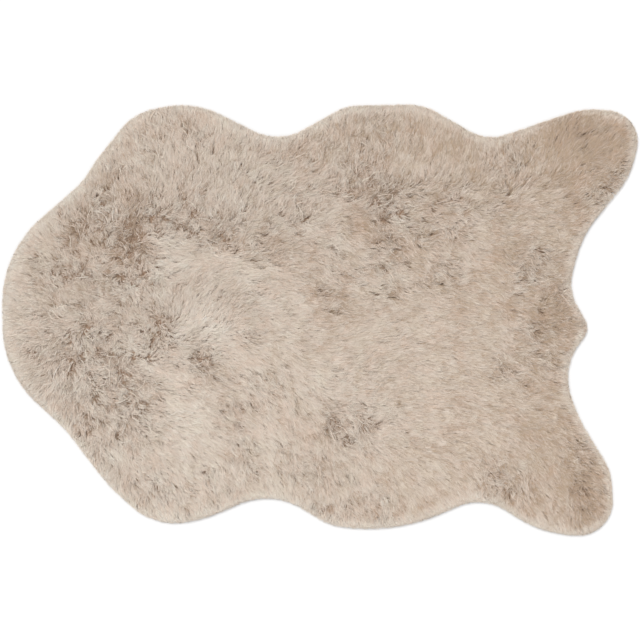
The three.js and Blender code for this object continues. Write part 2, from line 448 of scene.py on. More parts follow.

# Read off enlarged crops of the photo, most of them under a grid in metres.
GAPS: tuple[Gap, ...] = tuple(Gap(*row) for row in (
    # x0, y0, x1, y1, width, depth, bow
    # head, upper side
    (-0.857, 0.374, -0.857, 0.356, 0.006, 0.9), (-0.814, 0.421, -0.822, 0.404, 0.006, 0.9),
    (-0.852, 0.486, -0.848, 0.46, 0.006, 0.9), (-0.835, 0.486, -0.831, 0.473, 0.006, 0.9),
    (-0.801, 0.3, -0.814, 0.283, 0.007, 0.9), (-0.732, 0.378, -0.697, 0.365, 0.005, 0.9),
    (-0.779, 0.335, -0.745, 0.313, 0.0048, 0.9), (-0.788, 0.326, -0.762, 0.292, 0.0048, 0.9),
    (-1.015, 0.445, -1.005, 0.425, 0.01, 0.9), (-1.04, 0.4, -1.03, 0.34, 0.014, 0.8),
    (-1.0, 0.35, -0.965, 0.315, 0.014, 0.9), (-1.12, 0.35, -1.1, 0.345, 0.008, 0.9),
    (-1.045, 0.3, -1.035, 0.28, 0.01, 0.8), (-0.845, 0.49, -0.835, 0.46, 0.016, 0.7),
    (-0.83, 0.43, -0.825, 0.385, 0.012, 1.0), (-0.815, 0.37, -0.795, 0.34, 0.018, 1.0),
    (-0.825, 0.3, -0.815, 0.26, 0.011, 1.0), (-0.795, 0.355, -0.755, 0.35, 0.004, 0.8),
    (-0.802, 0.585, -0.78, 0.5, 0.0045, 0.9, 0.006), (-0.895, 0.56, -0.88, 0.528, 0.005, 0.9),
    (-0.845, 0.545, -0.84, 0.51, 0.006, 0.7), (-0.92, 0.37, -0.905, 0.385, 0.009, 0.8),
    (-0.94, 0.31, -0.875, 0.315, 0.004, 0.8), (-0.895, 0.23, -0.865, 0.218, 0.006, 0.8),
    (-0.915, 0.205, -0.88, 0.207, 0.0048, 0.8), (-0.908, 0.19, -0.904, 0.18, 0.007, 0.8),
    (-1.132, 0.25, -1.16, 0.175, 0.005, 0.8, 0.006), (-1.152, 0.14, -1.143, 0.115, 0.005, 0.9),
    (-1.01, 0.23, -1.002, 0.165, 0.004, 0.7), (-0.765, 0.252, -0.715, 0.252, 0.004, 0.8),
    (-1.24, 0.035, -1.2, 0.036, 0.005, 0.9),
    # head, lower side
    (-1.082, -0.045, -1.07, -0.09, 0.008, 0.9), (-1.112, -0.125, -1.092, -0.16, 0.011, 0.9),
    (-1.24, -0.133, -1.205, -0.15, 0.005, 0.9), (-1.21, -0.16, -1.175, -0.2, 0.005, 0.8),
    (-1.155, -0.22, -1.14, -0.228, 0.01, 0.7), (-1.27, -0.05, -1.25, -0.095, 0.004, 0.7, 0.004),
    (-1.085, -0.185, -1.07, -0.24, 0.018, 1.0), (-1.073, -0.255, -1.066, -0.295, 0.005, 1.0),
    (-1.04, -0.165, -1.005, -0.18, 0.005, 1.0), (-1.035, -0.198, -1.015, -0.19, 0.006, 0.9),
    (-0.992, -0.31, -0.96, -0.345, 0.011, 0.9), (-1.025, -0.392, -1.003, -0.42, 0.009, 1.0),
    (-1.0, -0.428, -0.968, -0.45, 0.004, 0.9), (-0.998, -0.475, -0.985, -0.5, 0.01, 0.8),
    (-0.874, -0.47, -0.882, -0.52, 0.0065, 1.0), (-0.945, -0.15, -0.93, -0.172, 0.009, 0.8),
    (-0.852, -0.14, -0.852, -0.172, 0.005, 0.9), (-0.866, -0.215, -0.848, -0.258, 0.006, 0.9),
    (-0.832, -0.25, -0.836, -0.28, 0.007, 0.8), (-0.802, -0.3, -0.798, -0.345, 0.008, 0.9),
    (-0.848, -0.345, -0.832, -0.392, 0.007, 0.8), (-0.8, -0.4, -0.768, -0.44, 0.006, 1.0),
    # upper shoulder
    (-0.716, 0.612, -0.708, 0.59, 0.0045, 1.0), (-0.602, 0.62, -0.6, 0.592, 0.0045, 0.8),
    (-0.715, 0.53, -0.69, 0.52, 0.012, 0.6), (-0.54, 0.76, -0.53, 0.722, 0.007, 0.7),
    (-0.52, 0.792, -0.515, 0.732, 0.0045, 0.9, 0.004), (-0.534, 0.7, -0.524, 0.676, 0.007, 1.0),
    (-0.437, 0.705, -0.43, 0.685, 0.007, 0.9), (-0.685, 0.44, -0.65, 0.424, 0.005, 1.0),
    (-0.65, 0.424, -0.62, 0.44, 0.0045, 0.9), (-0.545, 0.48, -0.528, 0.46, 0.01, 0.9),
    (-0.56, 0.392, -0.54, 0.378, 0.01, 0.8), (-0.452, 0.385, -0.44, 0.358, 0.006, 0.9),
    (-0.438, 0.352, -0.398, 0.33, 0.011, 1.0), (-0.49, 0.35, -0.478, 0.34, 0.008, 0.9),
    (-0.3, 0.265, -0.285, 0.245, 0.009, 0.8), (-0.275, 0.238, -0.25, 0.222, 0.007, 0.9),
    # back, fore
    (-0.735, 0.105, -0.715, 0.13, 0.006, 0.9), (-0.72, 0.15, -0.655, 0.157, 0.004, 0.8, 0.004),
    (-0.645, 0.022, -0.64, 0.0, 0.007, 1.0), (-0.71, -0.005, -0.69, -0.018, 0.009, 0.9),
    (-0.712, -0.055, -0.716, -0.112, 0.007, 1.0), (-0.7, -0.115, -0.685, -0.13, 0.008, 0.8),
    (-0.632, -0.18, -0.603, -0.216, 0.0055, 0.9), (-0.53, -0.16, -0.518, -0.195, 0.01, 1.0),
    (-0.53, -0.2, -0.48, -0.202, 0.005, 0.9), (-0.508, -0.21, -0.502, -0.235, 0.005, 0.9),
    (-0.5, 0.106, -0.465, 0.112, 0.005, 0.8), (-0.47, -0.255, -0.4, -0.285, 0.004, 0.9),
    (-0.355, -0.228, -0.29, -0.27, 0.005, 1.0), (-0.27, 0.112, -0.25, 0.105, 0.007, 0.9),
    (-0.22, -0.215, -0.2, -0.23, 0.006, 0.8), (-0.23, -0.29, -0.18, -0.33, 0.004, 0.8),
    (-0.355, -0.355, -0.33, -0.4, 0.006, 0.9), (0.005, 0.04, 0.055, 0.028, 0.0072, 1.1),
    (0.06, 0.032, 0.11, 0.027, 0.0072, 1.1), (-0.09, 0.195, -0.04, 0.195, 0.004, 0.8),
    # upper flank and loin
    (-0.23, 0.586, -0.205, 0.586, 0.005, 1.0), (-0.225, 0.552, -0.205, 0.545, 0.006, 0.9),
    (-0.128, 0.41, -0.105, 0.435, 0.007, 0.9), (0.02, 0.322, 0.062, 0.3, 0.0048, 0.9, 0.003),
    (0.108, 0.512, 0.14, 0.578, 0.0048, 0.9), (0.155, 0.605, 0.18, 0.648, 0.004, 0.9),
    (0.165, 0.708, 0.2, 0.73, 0.005, 0.9), (0.215, 0.64, 0.22, 0.6, 0.005, 0.9),
    (0.222, 0.6, 0.24, 0.545, 0.004, 0.8), (0.24, 0.535, 0.254, 0.48, 0.0055, 1.0),
    (0.222, 0.432, 0.238, 0.418, 0.013, 1.0), (0.262, 0.44, 0.272, 0.415, 0.009, 1.0),
    (0.28, 0.405, 0.302, 0.385, 0.005, 1.0), (0.265, 0.372, 0.3, 0.352, 0.0045, 0.9),
    (0.295, 0.595, 0.298, 0.555, 0.0045, 0.9), (0.3, 0.545, 0.322, 0.528, 0.008, 0.9),
    (0.425, 0.532, 0.49, 0.535, 0.004, 1.0, 0.008), (0.4, 0.516, 0.44, 0.511, 0.0045, 0.9),
    (0.458, 0.487, 0.485, 0.49, 0.006, 1.0), (0.508, 0.492, 0.53, 0.486, 0.0045, 0.9),
    (0.545, 0.59, 0.55, 0.56, 0.007, 0.8), (0.42, 0.33, 0.422, 0.3, 0.005, 1.0),
    (0.492, 0.712, 0.497, 0.728, 0.006, 0.9),
    # back, hind
    (0.208, 0.125, 0.255, 0.105, 0.0072, 1.1), (0.285, 0.098, 0.35, 0.094, 0.0072, 1.1),
    (0.355, 0.252, 0.41, 0.25, 0.0043, 0.8), (0.465, 0.252, 0.49, 0.258, 0.005, 0.9),
    (0.51, 0.165, 0.532, 0.14, 0.006, 0.9), (0.54, 0.135, 0.57, 0.118, 0.005, 0.9),
    (0.508, 0.112, 0.53, 0.112, 0.005, 1.0), (0.67, 0.205, 0.7, 0.21, 0.004, 0.8),
    (0.38, -0.098, 0.515, -0.112, 0.0041, 0.9), (0.53, -0.121, 0.57, -0.122, 0.0048, 0.9),
    (0.25, -0.115, 0.29, -0.07, 0.0038, 0.7), (0.2, -0.23, 0.25, -0.208, 0.0043, 0.6),
    (0.06, -0.255, 0.1, -0.248, 0.0048, 0.9), (0.115, -0.167, 0.15, -0.165, 0.0043, 0.8),
    (0.06, -0.37, 0.112, -0.372, 0.0048, 0.7), (0.5, -0.383, 0.53, -0.386, 0.0043, 0.9),
    # lower belly
    (0.018, -0.465, 0.028, -0.488, 0.011, 1.0), (0.042, -0.455, 0.05, -0.48, 0.0045, 0.9),
    (0.02, -0.405, 0.085, -0.44, 0.0045, 0.9, 0.008), (0.12, -0.45, 0.152, -0.445, 0.0045, 1.0),
    (0.172, -0.46, 0.188, -0.44, 0.006, 1.0), (0.2, -0.455, 0.222, -0.49, 0.006, 0.9),
    (0.238, -0.465, 0.248, -0.44, 0.006, 0.9), (0.108, -0.502, 0.13, -0.52, 0.0045, 1.0),
    (-0.083, -0.412, -0.068, -0.432, 0.005, 1.0), (-0.19, -0.51, -0.15, -0.598, 0.006, 1.0, 0.005),
    (-0.145, -0.59, -0.098, -0.665, 0.0043, 0.7), (-0.002, -0.69, 0.008, -0.725, 0.006, 0.7),
    (0.005, -0.812, 0.012, -0.838, 0.007, 0.8),
    # lower shoulder
    (-0.73, -0.47, -0.69, -0.49, 0.0045, 1.0), (-0.69, -0.598, -0.668, -0.635, 0.0045, 0.9),
    (-0.735, -0.65, -0.705, -0.69, 0.005, 0.7), (-0.704, -0.695, -0.694, -0.722, 0.006, 0.9),
    (-0.64, -0.7, -0.595, -0.745, 0.0045, 0.9), (-0.57, -0.718, -0.54, -0.742, 0.005, 0.8),
    (-0.355, -0.458, -0.33, -0.465, 0.006, 0.9), (-0.392, -0.515, -0.358, -0.552, 0.0048, 0.8),
    # upper hind leg
    (1.095, 0.795, 1.155, 0.792, 0.006, 0.9), (1.15, 0.795, 1.225, 0.828, 0.0055, 0.9, -0.006),
    (1.108, 0.842, 1.118, 0.828, 0.006, 0.8), (1.008, 0.785, 1.028, 0.75, 0.0045, 0.8, -0.004),
    (1.13, 0.77, 1.142, 0.705, 0.007, 0.8), (1.166, 0.74, 1.168, 0.715, 0.005, 0.8),
    (1.275, 0.625, 1.31, 0.645, 0.006, 0.8), (1.205, 0.577, 1.225, 0.57, 0.006, 1.0),
    (1.225, 0.585, 1.28, 0.612, 0.0043, 0.7), (1.13, 0.425, 1.148, 0.424, 0.008, 1.0),
    (1.07, 0.492, 1.12, 0.501, 0.0048, 0.9), (0.938, 0.625, 0.95, 0.612, 0.004, 0.9),
    (0.805, 0.382, 0.835, 0.352, 0.005, 0.7),
    # rump
    (0.868, 0.234, 0.895, 0.236, 0.006, 1.0), (0.888, 0.212, 0.902, 0.192, 0.005, 0.9),
    (0.835, 0.118, 0.856, 0.1, 0.0045, 1.0), (0.822, 0.038, 0.848, 0.04, 0.005, 1.0),
    (0.94, 0.06, 0.952, 0.02, 0.006, 1.0), (0.905, 0.03, 0.932, 0.014, 0.004, 0.7),
    (0.958, -0.01, 0.985, 0.002, 0.005, 0.9), (1.012, 0.1, 1.032, 0.118, 0.006, 1.0),
    (1.04, 0.155, 1.065, 0.158, 0.005, 0.9), (1.0, -0.045, 1.025, -0.012, 0.007, 1.0),
    (0.915, -0.03, 0.922, -0.055, 0.006, 0.8), (0.918, -0.15, 0.945, -0.155, 0.007, 1.0),
    (0.795, -0.205, 0.85, -0.212, 0.006, 0.8), (0.765, -0.235, 0.785, -0.243, 0.005, 0.9),
    (0.732, -0.255, 0.752, -0.26, 0.005, 1.0),
    # lower hind leg
    (0.715, -0.77, 0.722, -0.755, 0.006, 0.9), (0.766, -0.735, 0.771, -0.74, 0.006, 0.9),
    (0.802, -0.71, 0.8, -0.765, 0.0055, 0.9), (0.835, -0.695, 0.855, -0.75, 0.005, 0.8),
    (0.905, -0.73, 0.95, -0.75, 0.0048, 0.8), (1.025, -0.632, 1.06, -0.668, 0.004, 0.8),
    (1.14, -0.662, 1.152, -0.672, 0.007, 1.0), (1.128, -0.725, 1.14, -0.745, 0.009, 1.0),
    (1.06, -0.718, 1.098, -0.732, 0.004, 0.9), (1.14, -0.792, 1.2, -0.795, 0.0045, 0.8),
    (1.215, -0.745, 1.228, -0.728, 0.006, 0.8),
))

# A first set was read off a blurred copy of the photo. Most rows were added or changed later, where the
# render came out lighter or darker than the photo.
# Painted sheen and shade: each row paints the wool lighter or darker where it lies differently to the light.
PAINTED_SHEEN_AND_SHADE: tuple[PaintedSheenPatch, ...] = tuple(PaintedSheenPatch(*row) for row in (
    # x, y, length, width, heading, tone
    # where the wool is painted darker, as painted shade
    (1.03, 0.73, 0.1, 0.07, 90, -0.06), (0.64, 0.73, 0.07, 0.06, 0, -0.05),
    (-0.815, 0.36, 0.1, 0.035, 85, -0.08), (-0.82, 0.38, 0.18, 0.07, 85, -0.2),
    (-1.03, 0.37, 0.09, 0.06, 80, -0.16), (-0.95, 0.22, 0.22, 0.14, 90, -0.12),
    (-0.95, 0.55, 0.16, 0.08, 60, -0.06), (-0.85, -0.38, 0.2, 0.13, 70, -0.08),
    (-1.08, -0.18, 0.12, 0.05, 100, -0.08), (-0.69, -0.04, 0.1, 0.035, 75, -0.1),
    (-0.13, 0.72, 0.08, 0.08, 0, -0.07), (-0.44, 0.37, 0.1, 0.06, -20, -0.1),
    (-0.62, 0.45, 0.16, 0.08, 0, -0.04), (-0.66, 0.85, 0.22, 0.12, 0, -0.11),
    (-0.39, -0.37, 0.09, 0.09, 0, -0.05), (-0.12, -0.37, 0.1, 0.08, 0, -0.09),
    (0.13, 0.41, 0.08, 0.09, 0, -0.13), (0.52, 0.73, 0.1, 0.08, 0, -0.08), (0.8, 0.17, 0.12, 0.1, 0, -0.07),
    (1.04, 0.86, 0.14, 0.1, 30, -0.2), (-1.03, 0.09, 0.09, 0.06, 0, -0.16),
    (-0.9, -0.17, 0.07, 0.05, 0, -0.13), (-0.65, -0.17, 0.06, 0.05, 0, -0.05),
    (0.13, -0.82, 0.08, 0.06, 0, -0.06), (-0.2, 0.33, 0.18, 0.08, -20, -0.06),
    (0.25, 0.48, 0.17, 0.09, 100, -0.17), (0.45, 0.5, 0.14, 0.1, 0, -0.08),
    (0.36, 0.3, 0.18, 0.08, -20, -0.08), (0.51, 0.17, 0.05, 0.03, 0, -0.14),
    (1.0, 0.04, 0.16, 0.08, 100, -0.18), (1.16, 0.76, 0.2, 0.14, 30, -0.2),
    (1.13, -0.73, 0.16, 0.08, 95, -0.24), (0.8, -0.7, 0.07, 0.05, 0, -0.1), (0.2, 0.78, 0.2, 0.1, 0, -0.08),
    (0.02, -0.47, 0.06, 0.04, 0, -0.12), (0.03, 0.11, 0.13, 0.1, 0, -0.12),
    (1.05, -0.4, 0.2, 0.1, -60, -0.06), (0.78, -0.22, 0.05, 0.03, 0, -0.08),
    (-0.5, -0.19, 0.05, 0.03, -40, -0.05), (0.1, 0.62, 0.12, 0.1, 90, -0.05),
    (-0.9, -0.17, 0.06, 0.06, 0, -0.08), (-1.03, 0.08, 0.05, 0.05, 0, -0.06),
    (-0.39, 0.73, 0.07, 0.05, 0, -0.07), (0.13, -0.3, 0.06, 0.06, 0, -0.06),
    (0.91, -0.69, 0.06, 0.06, 0, -0.07), (-0.52, -0.82, 0.07, 0.05, 0, -0.06),
    (-0.52, 0.86, 0.07, 0.05, 0, -0.07), (1.03, 0.86, 0.1, 0.06, 0, -0.16),
    (1.16, 0.6, 0.08, 0.08, 0, -0.08), (0.39, -0.82, 0.08, 0.05, 0, -0.09),
    (0.78, 0.28, 0.09, 0.09, 0, -0.07), (0.39, 0.34, 0.07, 0.06, 0, -0.06),
    (1.16, -0.56, 0.07, 0.07, 0, -0.07),
    # where it is painted lighter, as painted sheen
    (0.26, 0.6, 0.2, 0.06, 0, 0.05), (0.91, 0.46, 0.16, 0.07, 90, 0.05),
    (0.65, -0.04, 0.26, 0.06, 90, 0.05), (0.28, -0.09, 0.16, 0.09, 0, 0.06),
    (-0.25, -0.56, 0.14, 0.05, 90, 0.06), (-0.65, 0.36, 0.08, 0.06, 0, 0.06),
    (1.03, -0.05, 0.08, 0.06, 0, 0.07), (0.78, -0.12, 0.08, 0.06, 0, 0.05),
    (-0.39, -0.03, 0.06, 0.05, 0, 0.06), (-0.66, 0.34, 0.12, 0.045, -25, 0.2),
    (-0.5, 0.0, 0.24, 0.07, -48, 0.2), (-0.24, 0.06, 0.16, 0.06, -55, 0.16),
    (-0.1, 0.06, 0.1, 0.04, -60, 0.1), (-0.68, -0.18, 0.09, 0.06, -50, 0.14),
    (-0.58, -0.42, 0.2, 0.14, -35, 0.19), (-0.57, -0.06, 0.07, 0.06, 0, 0.1),
    (-0.43, 0.47, 0.1, 0.07, 0, 0.08), (-0.82, -0.12, 0.06, 0.035, -40, 0.14),
    (-0.92, 0.07, 0.06, 0.035, -20, 0.1), (-0.45, 0.22, 0.14, 0.08, -10, 0.12),
    (0.02, 0.42, 0.09, 0.06, 80, 0.09), (0.18, 0.16, 0.1, 0.05, 50, 0.09),
    (0.6, 0.26, 0.12, 0.04, 75, 0.08), (-0.55, 0.72, 0.3, 0.14, 0, 0.07),
    (-0.6, -0.66, 0.26, 0.12, -20, 0.12), (0.0, -0.3, 0.22, 0.14, -40, 0.08),
    (0.55, -0.3, 0.34, 0.22, 0, 0.03), (0.1, 0.36, 0.08, 0.05, 70, 0.06), (-1.28, 0.05, 0.3, 0.05, 90, 0.1),
    (-1.0, -0.08, 0.34, 0.6, 0, 0.09), (-0.65, 0.47, 0.08, 0.06, 0, 0.1),
    (-0.38, 0.47, 0.07, 0.07, 0, 0.08), (-0.13, 0.47, 0.08, 0.06, 0, 0.08),
    (-0.48, -0.05, 0.16, 0.06, 0, 0.12), (-0.2, -0.5, 0.14, 0.08, -45, 0.11),
    (0.26, -0.43, 0.08, 0.06, 0, 0.12), (-0.9, -0.56, 0.08, 0.06, 0, 0.13),
    (-0.65, -0.82, 0.08, 0.06, 0, 0.09), (0.65, 0.47, 0.1, 0.07, 0, 0.1), (0.32, 0.47, 0.09, 0.07, 0, 0.1),
    (-0.78, -0.17, 0.06, 0.05, 0, 0.12), (-0.52, -0.16, 0.06, 0.05, 0, 0.08),
    (-0.6, 0.24, 0.1, 0.06, 0, 0.07), (-0.12, 0.1, 0.06, 0.05, 0, 0.06), (1.03, 0.34, 0.06, 0.06, 0, 0.07),
    (-0.78, -0.04, 0.05, 0.05, 0, 0.06), (0.26, 0.21, 0.06, 0.05, 0, 0.06),
    (-0.64, -0.04, 0.08, 0.06, 0, 0.11), (-0.26, 0.6, 0.08, 0.06, 0, 0.08),
    (0.13, 0.09, 0.08, 0.06, 0, 0.07), (0.0, 0.34, 0.08, 0.06, 0, 0.08),
    (-0.64, -0.43, 0.08, 0.06, 0, 0.06), (0.2, -0.43, 0.13, 0.06, 0, 0.08),
    (0.13, -0.69, 0.08, 0.06, 0, 0.06), (-1.1, -0.17, 0.12, 0.14, 0, 0.07),
    (0.78, -0.04, 0.08, 0.06, 0, 0.08), (0.78, -0.69, 0.08, 0.06, 0, 0.08),
    (1.29, -0.56, 0.05, 0.08, 0, 0.14), (-0.86, 0.22, 0.16, 0.07, 0, 0.12),
    (-0.64, 0.22, 0.1, 0.06, 0, 0.12), (-0.9, 0.45, 0.08, 0.08, 0, 0.09),
    (-0.42, 0.47, 0.12, 0.06, 0, 0.07), (-0.13, -0.7, 0.12, 0.06, 0, 0.09),
    (0.3, 0.42, 0.12, 0.06, 0, 0.09), (0.88, 0.2, 0.1, 0.08, 0, 0.07), (1.16, -0.56, 0.08, 0.06, 0, 0.12),
    (-1.16, -0.3, 0.07, 0.06, 0, 0.09),
    # the hind end and the upper flank are painted darker, as painted shade
    (1.1, -0.1, 0.6, 1.2, 0, -0.15), (0.5, 0.78, 0.5, 0.14, 0, -0.07),
))

# Set from the local contrast measured in the photo.
RUFFLES: tuple[Ruffle, ...] = tuple(Ruffle(*row) for row in (
    # x, y, radius, amount
    # lightly ruffled, all over the fore end
    (-0.6, 0.62, 0.34, 0.36), (-0.95, 0.1, 0.4, 0.45), (-0.55, -0.55, 0.34, 0.36), (-0.4, 0.05, 0.32, 0.26),
    (-0.05, 0.55, 0.34, 0.3), (-0.05, -0.55, 0.32, 0.28),
    # head and shoulders
    (-1.05, 0.36, 0.13, 0.65), (-0.9, 0.44, 0.13, 0.8), (-0.8, 0.36, 0.14, 0.85), (-1.14, 0.16, 0.14, 0.6),
    (-0.98, 0.16, 0.15, 0.75), (-0.8, 0.14, 0.14, 0.65), (-1.12, -0.08, 0.14, 0.85),
    (-0.98, -0.1, 0.14, 0.85), (-0.8, -0.08, 0.12, 0.65), (-0.66, -0.08, 0.1, 0.45),
    (-1.04, -0.22, 0.12, 0.95), (-0.88, -0.24, 0.13, 0.75), (-1.0, -0.38, 0.12, 0.75),
    (-0.82, -0.36, 0.13, 0.85), (-0.88, -0.52, 0.12, 0.6), (-0.52, -0.18, 0.07, 0.8),
    (-0.62, 0.44, 0.13, 0.75), (-0.5, 0.4, 0.12, 0.85), (-0.38, 0.4, 0.11, 0.6), (-0.8, 0.64, 0.12, 0.5),
    (-0.52, 0.76, 0.08, 0.65), (-0.66, 0.6, 0.12, 0.45), (-0.34, 0.62, 0.12, 0.4),
    (-0.25, 0.32, 0.12, 0.45), (-0.12, 0.46, 0.12, 0.5), (-0.7, -0.68, 0.14, 0.45),
    (-0.5, -0.6, 0.12, 0.35),
    # back and loin
    (0.0, 0.34, 0.09, 0.5), (0.15, 0.58, 0.11, 0.7), (0.26, 0.5, 0.1, 0.95), (0.26, 0.36, 0.1, 0.7),
    (0.42, 0.46, 0.11, 0.55), (0.54, 0.46, 0.1, 0.55), (0.5, 0.2, 0.1, 0.4), (0.02, 0.1, 0.08, 0.35),
    (0.28, 0.2, 0.1, 0.35), (0.1, 0.2, 0.12, 0.35), (-0.36, -0.36, 0.12, 0.5), (-0.36, -0.56, 0.12, 0.45),
    (-0.24, -0.26, 0.1, 0.4), (0.04, -0.44, 0.09, 0.75), (0.14, -0.46, 0.09, 0.7), (0.28, -0.42, 0.08, 0.4),
    (0.02, -0.8, 0.12, 0.6), (0.22, -0.8, 0.12, 0.45), (-0.08, -0.62, 0.12, 0.35), (0.24, 0.76, 0.14, 0.35),
    (0.1, -0.26, 0.12, 0.25),
    # rump and hind legs
    (0.9, 0.22, 0.1, 0.6), (1.02, 0.1, 0.11, 0.45), (0.92, -0.06, 0.1, 0.5), (0.8, -0.18, 0.09, 0.5),
    (1.02, -0.16, 0.1, 0.4), (0.8, 0.66, 0.12, 0.35), (1.22, 0.56, 0.1, 0.45), (0.78, -0.68, 0.1, 0.6),
    (1.12, -0.6, 0.1, 0.4), (0.78, 0.5, 0.1, 0.25), (1.1, -0.74, 0.12, 0.35),
))


class Combing:
    """How the wool lies: its combed direction, how ruffled it is, where it parts, and how light it looks,
    with painted sheen and shade.

    The rows of whorls give a noise's seed and wavelength and its share. Those of mottles give a seed and
    a wavelength, and how strong the noise is in smooth wool and what ruffling adds.
    """

    stroke_reach = 0.085
    wide_gap = 0.008
    gap_pull = 0.2
    whorls = ((11, 0.150, 0.4), (12, 0.075, 0.8), (13, 0.040, 0.7))
    whorl_turn = 65.0
    whorl_pull = 0.7
    smooth_whorls = 0.08
    least_ruffle = 0.06
    most_calmed = 0.45
    ruffle_unevenness = 0.55
    fleck_tries = 26000
    fleck_share = 0.50
    fleck_turn = Varying(0.12, 0.45)
    fleck_reach = (0.003, 0.019)
    fleck_width = (0.0025, 0.0042)
    fleck_depth = (0.45, 1.00)
    mottles = ((31, 0.16, 0.025, 0.0), (32, 0.075, 0.036, 0.0), (33, 0.036, 0.036, 0.05))
    darker = 0.07
    smooth_darker = 0.22

    def __init__(self, grid: Grid) -> None:
        """Work out the fields on the grid."""
        self.grid = grid
        painted_light_and_shade = self._painted_sheen_and_shade(grid.points)
        ruffle = self._ruffles(grid.points) * (1 - np.clip(2 * painted_light_and_shade, 0, self.most_calmed))
        self.ruffle = ruffle.reshape(grid.shape)
        self.lay = self._lay(grid.points, ruffle).reshape(*grid.shape, 2)
        # The tone holds the painted sheen and shade and the random mottling.
        self.tone = (painted_light_and_shade + self._mottling(grid.points, ruffle)).reshape(grid.shape)
        fine = Grid(cell=0.0025)
        gaps = [*GAPS, *self._flecks(np.random.default_rng(62))]
        self.gaps = GapField(gaps, fine, grid.read(self.ruffle, fine.points))

    def _ruffles(self, points: np.ndarray) -> np.ndarray:
        """Return how ruffled the wool is at each point, from 0 to 1."""
        total = np.full(len(points), self.least_ruffle)
        for r in RUFFLES:
            d2 = (points[:, 0] - r.x) ** 2 + (points[:, 1] - r.y) ** 2
            total = np.maximum(total, r.amount * np.exp(-d2 / (2 * (0.8 * r.radius) ** 2)))
        return np.clip(total * (1 + self.ruffle_unevenness * SmoothNoise(21, 0.07, 2).at(points)), 0.03, 1.0)

    def _lay(self, points: np.ndarray, ruffle: np.ndarray) -> np.ndarray:
        """Return the combed direction at each point, about a unit long and shorter where it parts."""
        lay = np.zeros((len(points), 2))
        weight = np.full((len(points), 1), 1e-9)
        for s in STROKES:
            d2 = (points[:, 0] - s.x) ** 2 + (points[:, 1] - s.y) ** 2
            w = np.exp(-d2 / (2 * self.stroke_reach ** 2))[:, None] + 1e-7
            a = math.radians(s.heading)
            lay += w * np.array([math.cos(a), math.sin(a)])
            weight += w
        lay /= weight
        for gap in GAPS:
            if gap.width >= self.wide_gap:
                away, size, depth = gap.measure(points)
                reach = 2 * gap.width
                ring = size / reach * np.exp(0.5 - (size / reach) ** 2 / 2)
                lay += self.gap_pull * (depth * ring)[:, None] * away
        return lay + self._whorls(points, ruffle)

    def _whorls(self, points: np.ndarray, ruffle: np.ndarray) -> np.ndarray:
        """Return small random partings and whorls, strongest where the wool is ruffled."""
        pull = np.zeros((len(points), 2))
        for seed, wavelength, share in self.whorls:
            noise = SmoothNoise(seed, wavelength)
            e = wavelength * 0.05
            step_x, step_y = np.array([e, 0.0]), np.array([0.0, e])
            slope = np.stack([
                noise.at(points + step_x) - noise.at(points - step_x),
                noise.at(points + step_y) - noise.at(points - step_y),
            ], 1) * wavelength / (2 * e)
            pull += share * turned(slope, np.full(len(slope), math.radians(self.whorl_turn)))
        return pull * grown(self.smooth_whorls, ruffle)[:, None] * self.whorl_pull

    def _flecks(self, rng: np.random.Generator) -> list[Gap]:
        """Scatter small gaps along the lay, most of them where the wool is ruffled."""
        half = np.array([self.grid.half_x, self.grid.half_y])
        places = rng.uniform(-half, half, (self.fleck_tries, 2))
        ruffle = self.grid.read(self.ruffle, places)
        crowd = np.clip(0.8 + 0.9 * SmoothNoise(63, 0.045, 2).at(places), 0, 2)
        kept = rng.random(len(places)) < self.fleck_share * crowd * ruffle ** 1.3
        places, ruffle = places[kept], ruffle[kept]
        lay = self.grid.read(self.lay, places)
        heading = np.arctan2(lay[:, 1], lay[:, 0]) + rng.normal(0, self.fleck_turn.at(ruffle))
        reach = rng.uniform(*self.fleck_reach, len(places)) * (1 - 0.35 * ruffle)
        run = reach[:, None] * np.stack([np.cos(heading), np.sin(heading)], 1)
        width = rng.uniform(*self.fleck_width, len(places)) * (1 + 0.2 * ruffle)
        depth = rng.uniform(*self.fleck_depth, len(places))
        rows = np.column_stack([places - run, places + run, width, depth])
        return [Gap(*row) for row in rows.tolist()]

    @staticmethod
    def _painted_sheen_and_shade(points: np.ndarray) -> np.ndarray:
        """Return how much lighter or darker the painted sheen and shade make each point."""
        total = np.zeros(len(points))
        for p in PAINTED_SHEEN_AND_SHADE:
            a = math.radians(p.heading)
            dx, dy = points[:, 0] - p.x, points[:, 1] - p.y
            along = dx * math.cos(a) + dy * math.sin(a)
            across = dy * math.cos(a) - dx * math.sin(a)
            total += p.tone * np.exp(-((along / p.length) ** 2 + (across / p.width) ** 2))
        return total

    def _mottling(self, points: np.ndarray, ruffle: np.ndarray) -> np.ndarray:
        """Return soft random differences in how light the wool is."""
        total = np.zeros(len(points))
        for seed, wavelength, smooth, added in self.mottles:
            total += Varying(smooth, added).at(ruffle) * SmoothNoise(seed, wavelength).at(points)
        return total - self.darker - self.smooth_darker * (1 - ruffle) ** 2


# --------------------------------------------------------------------------- shader maths


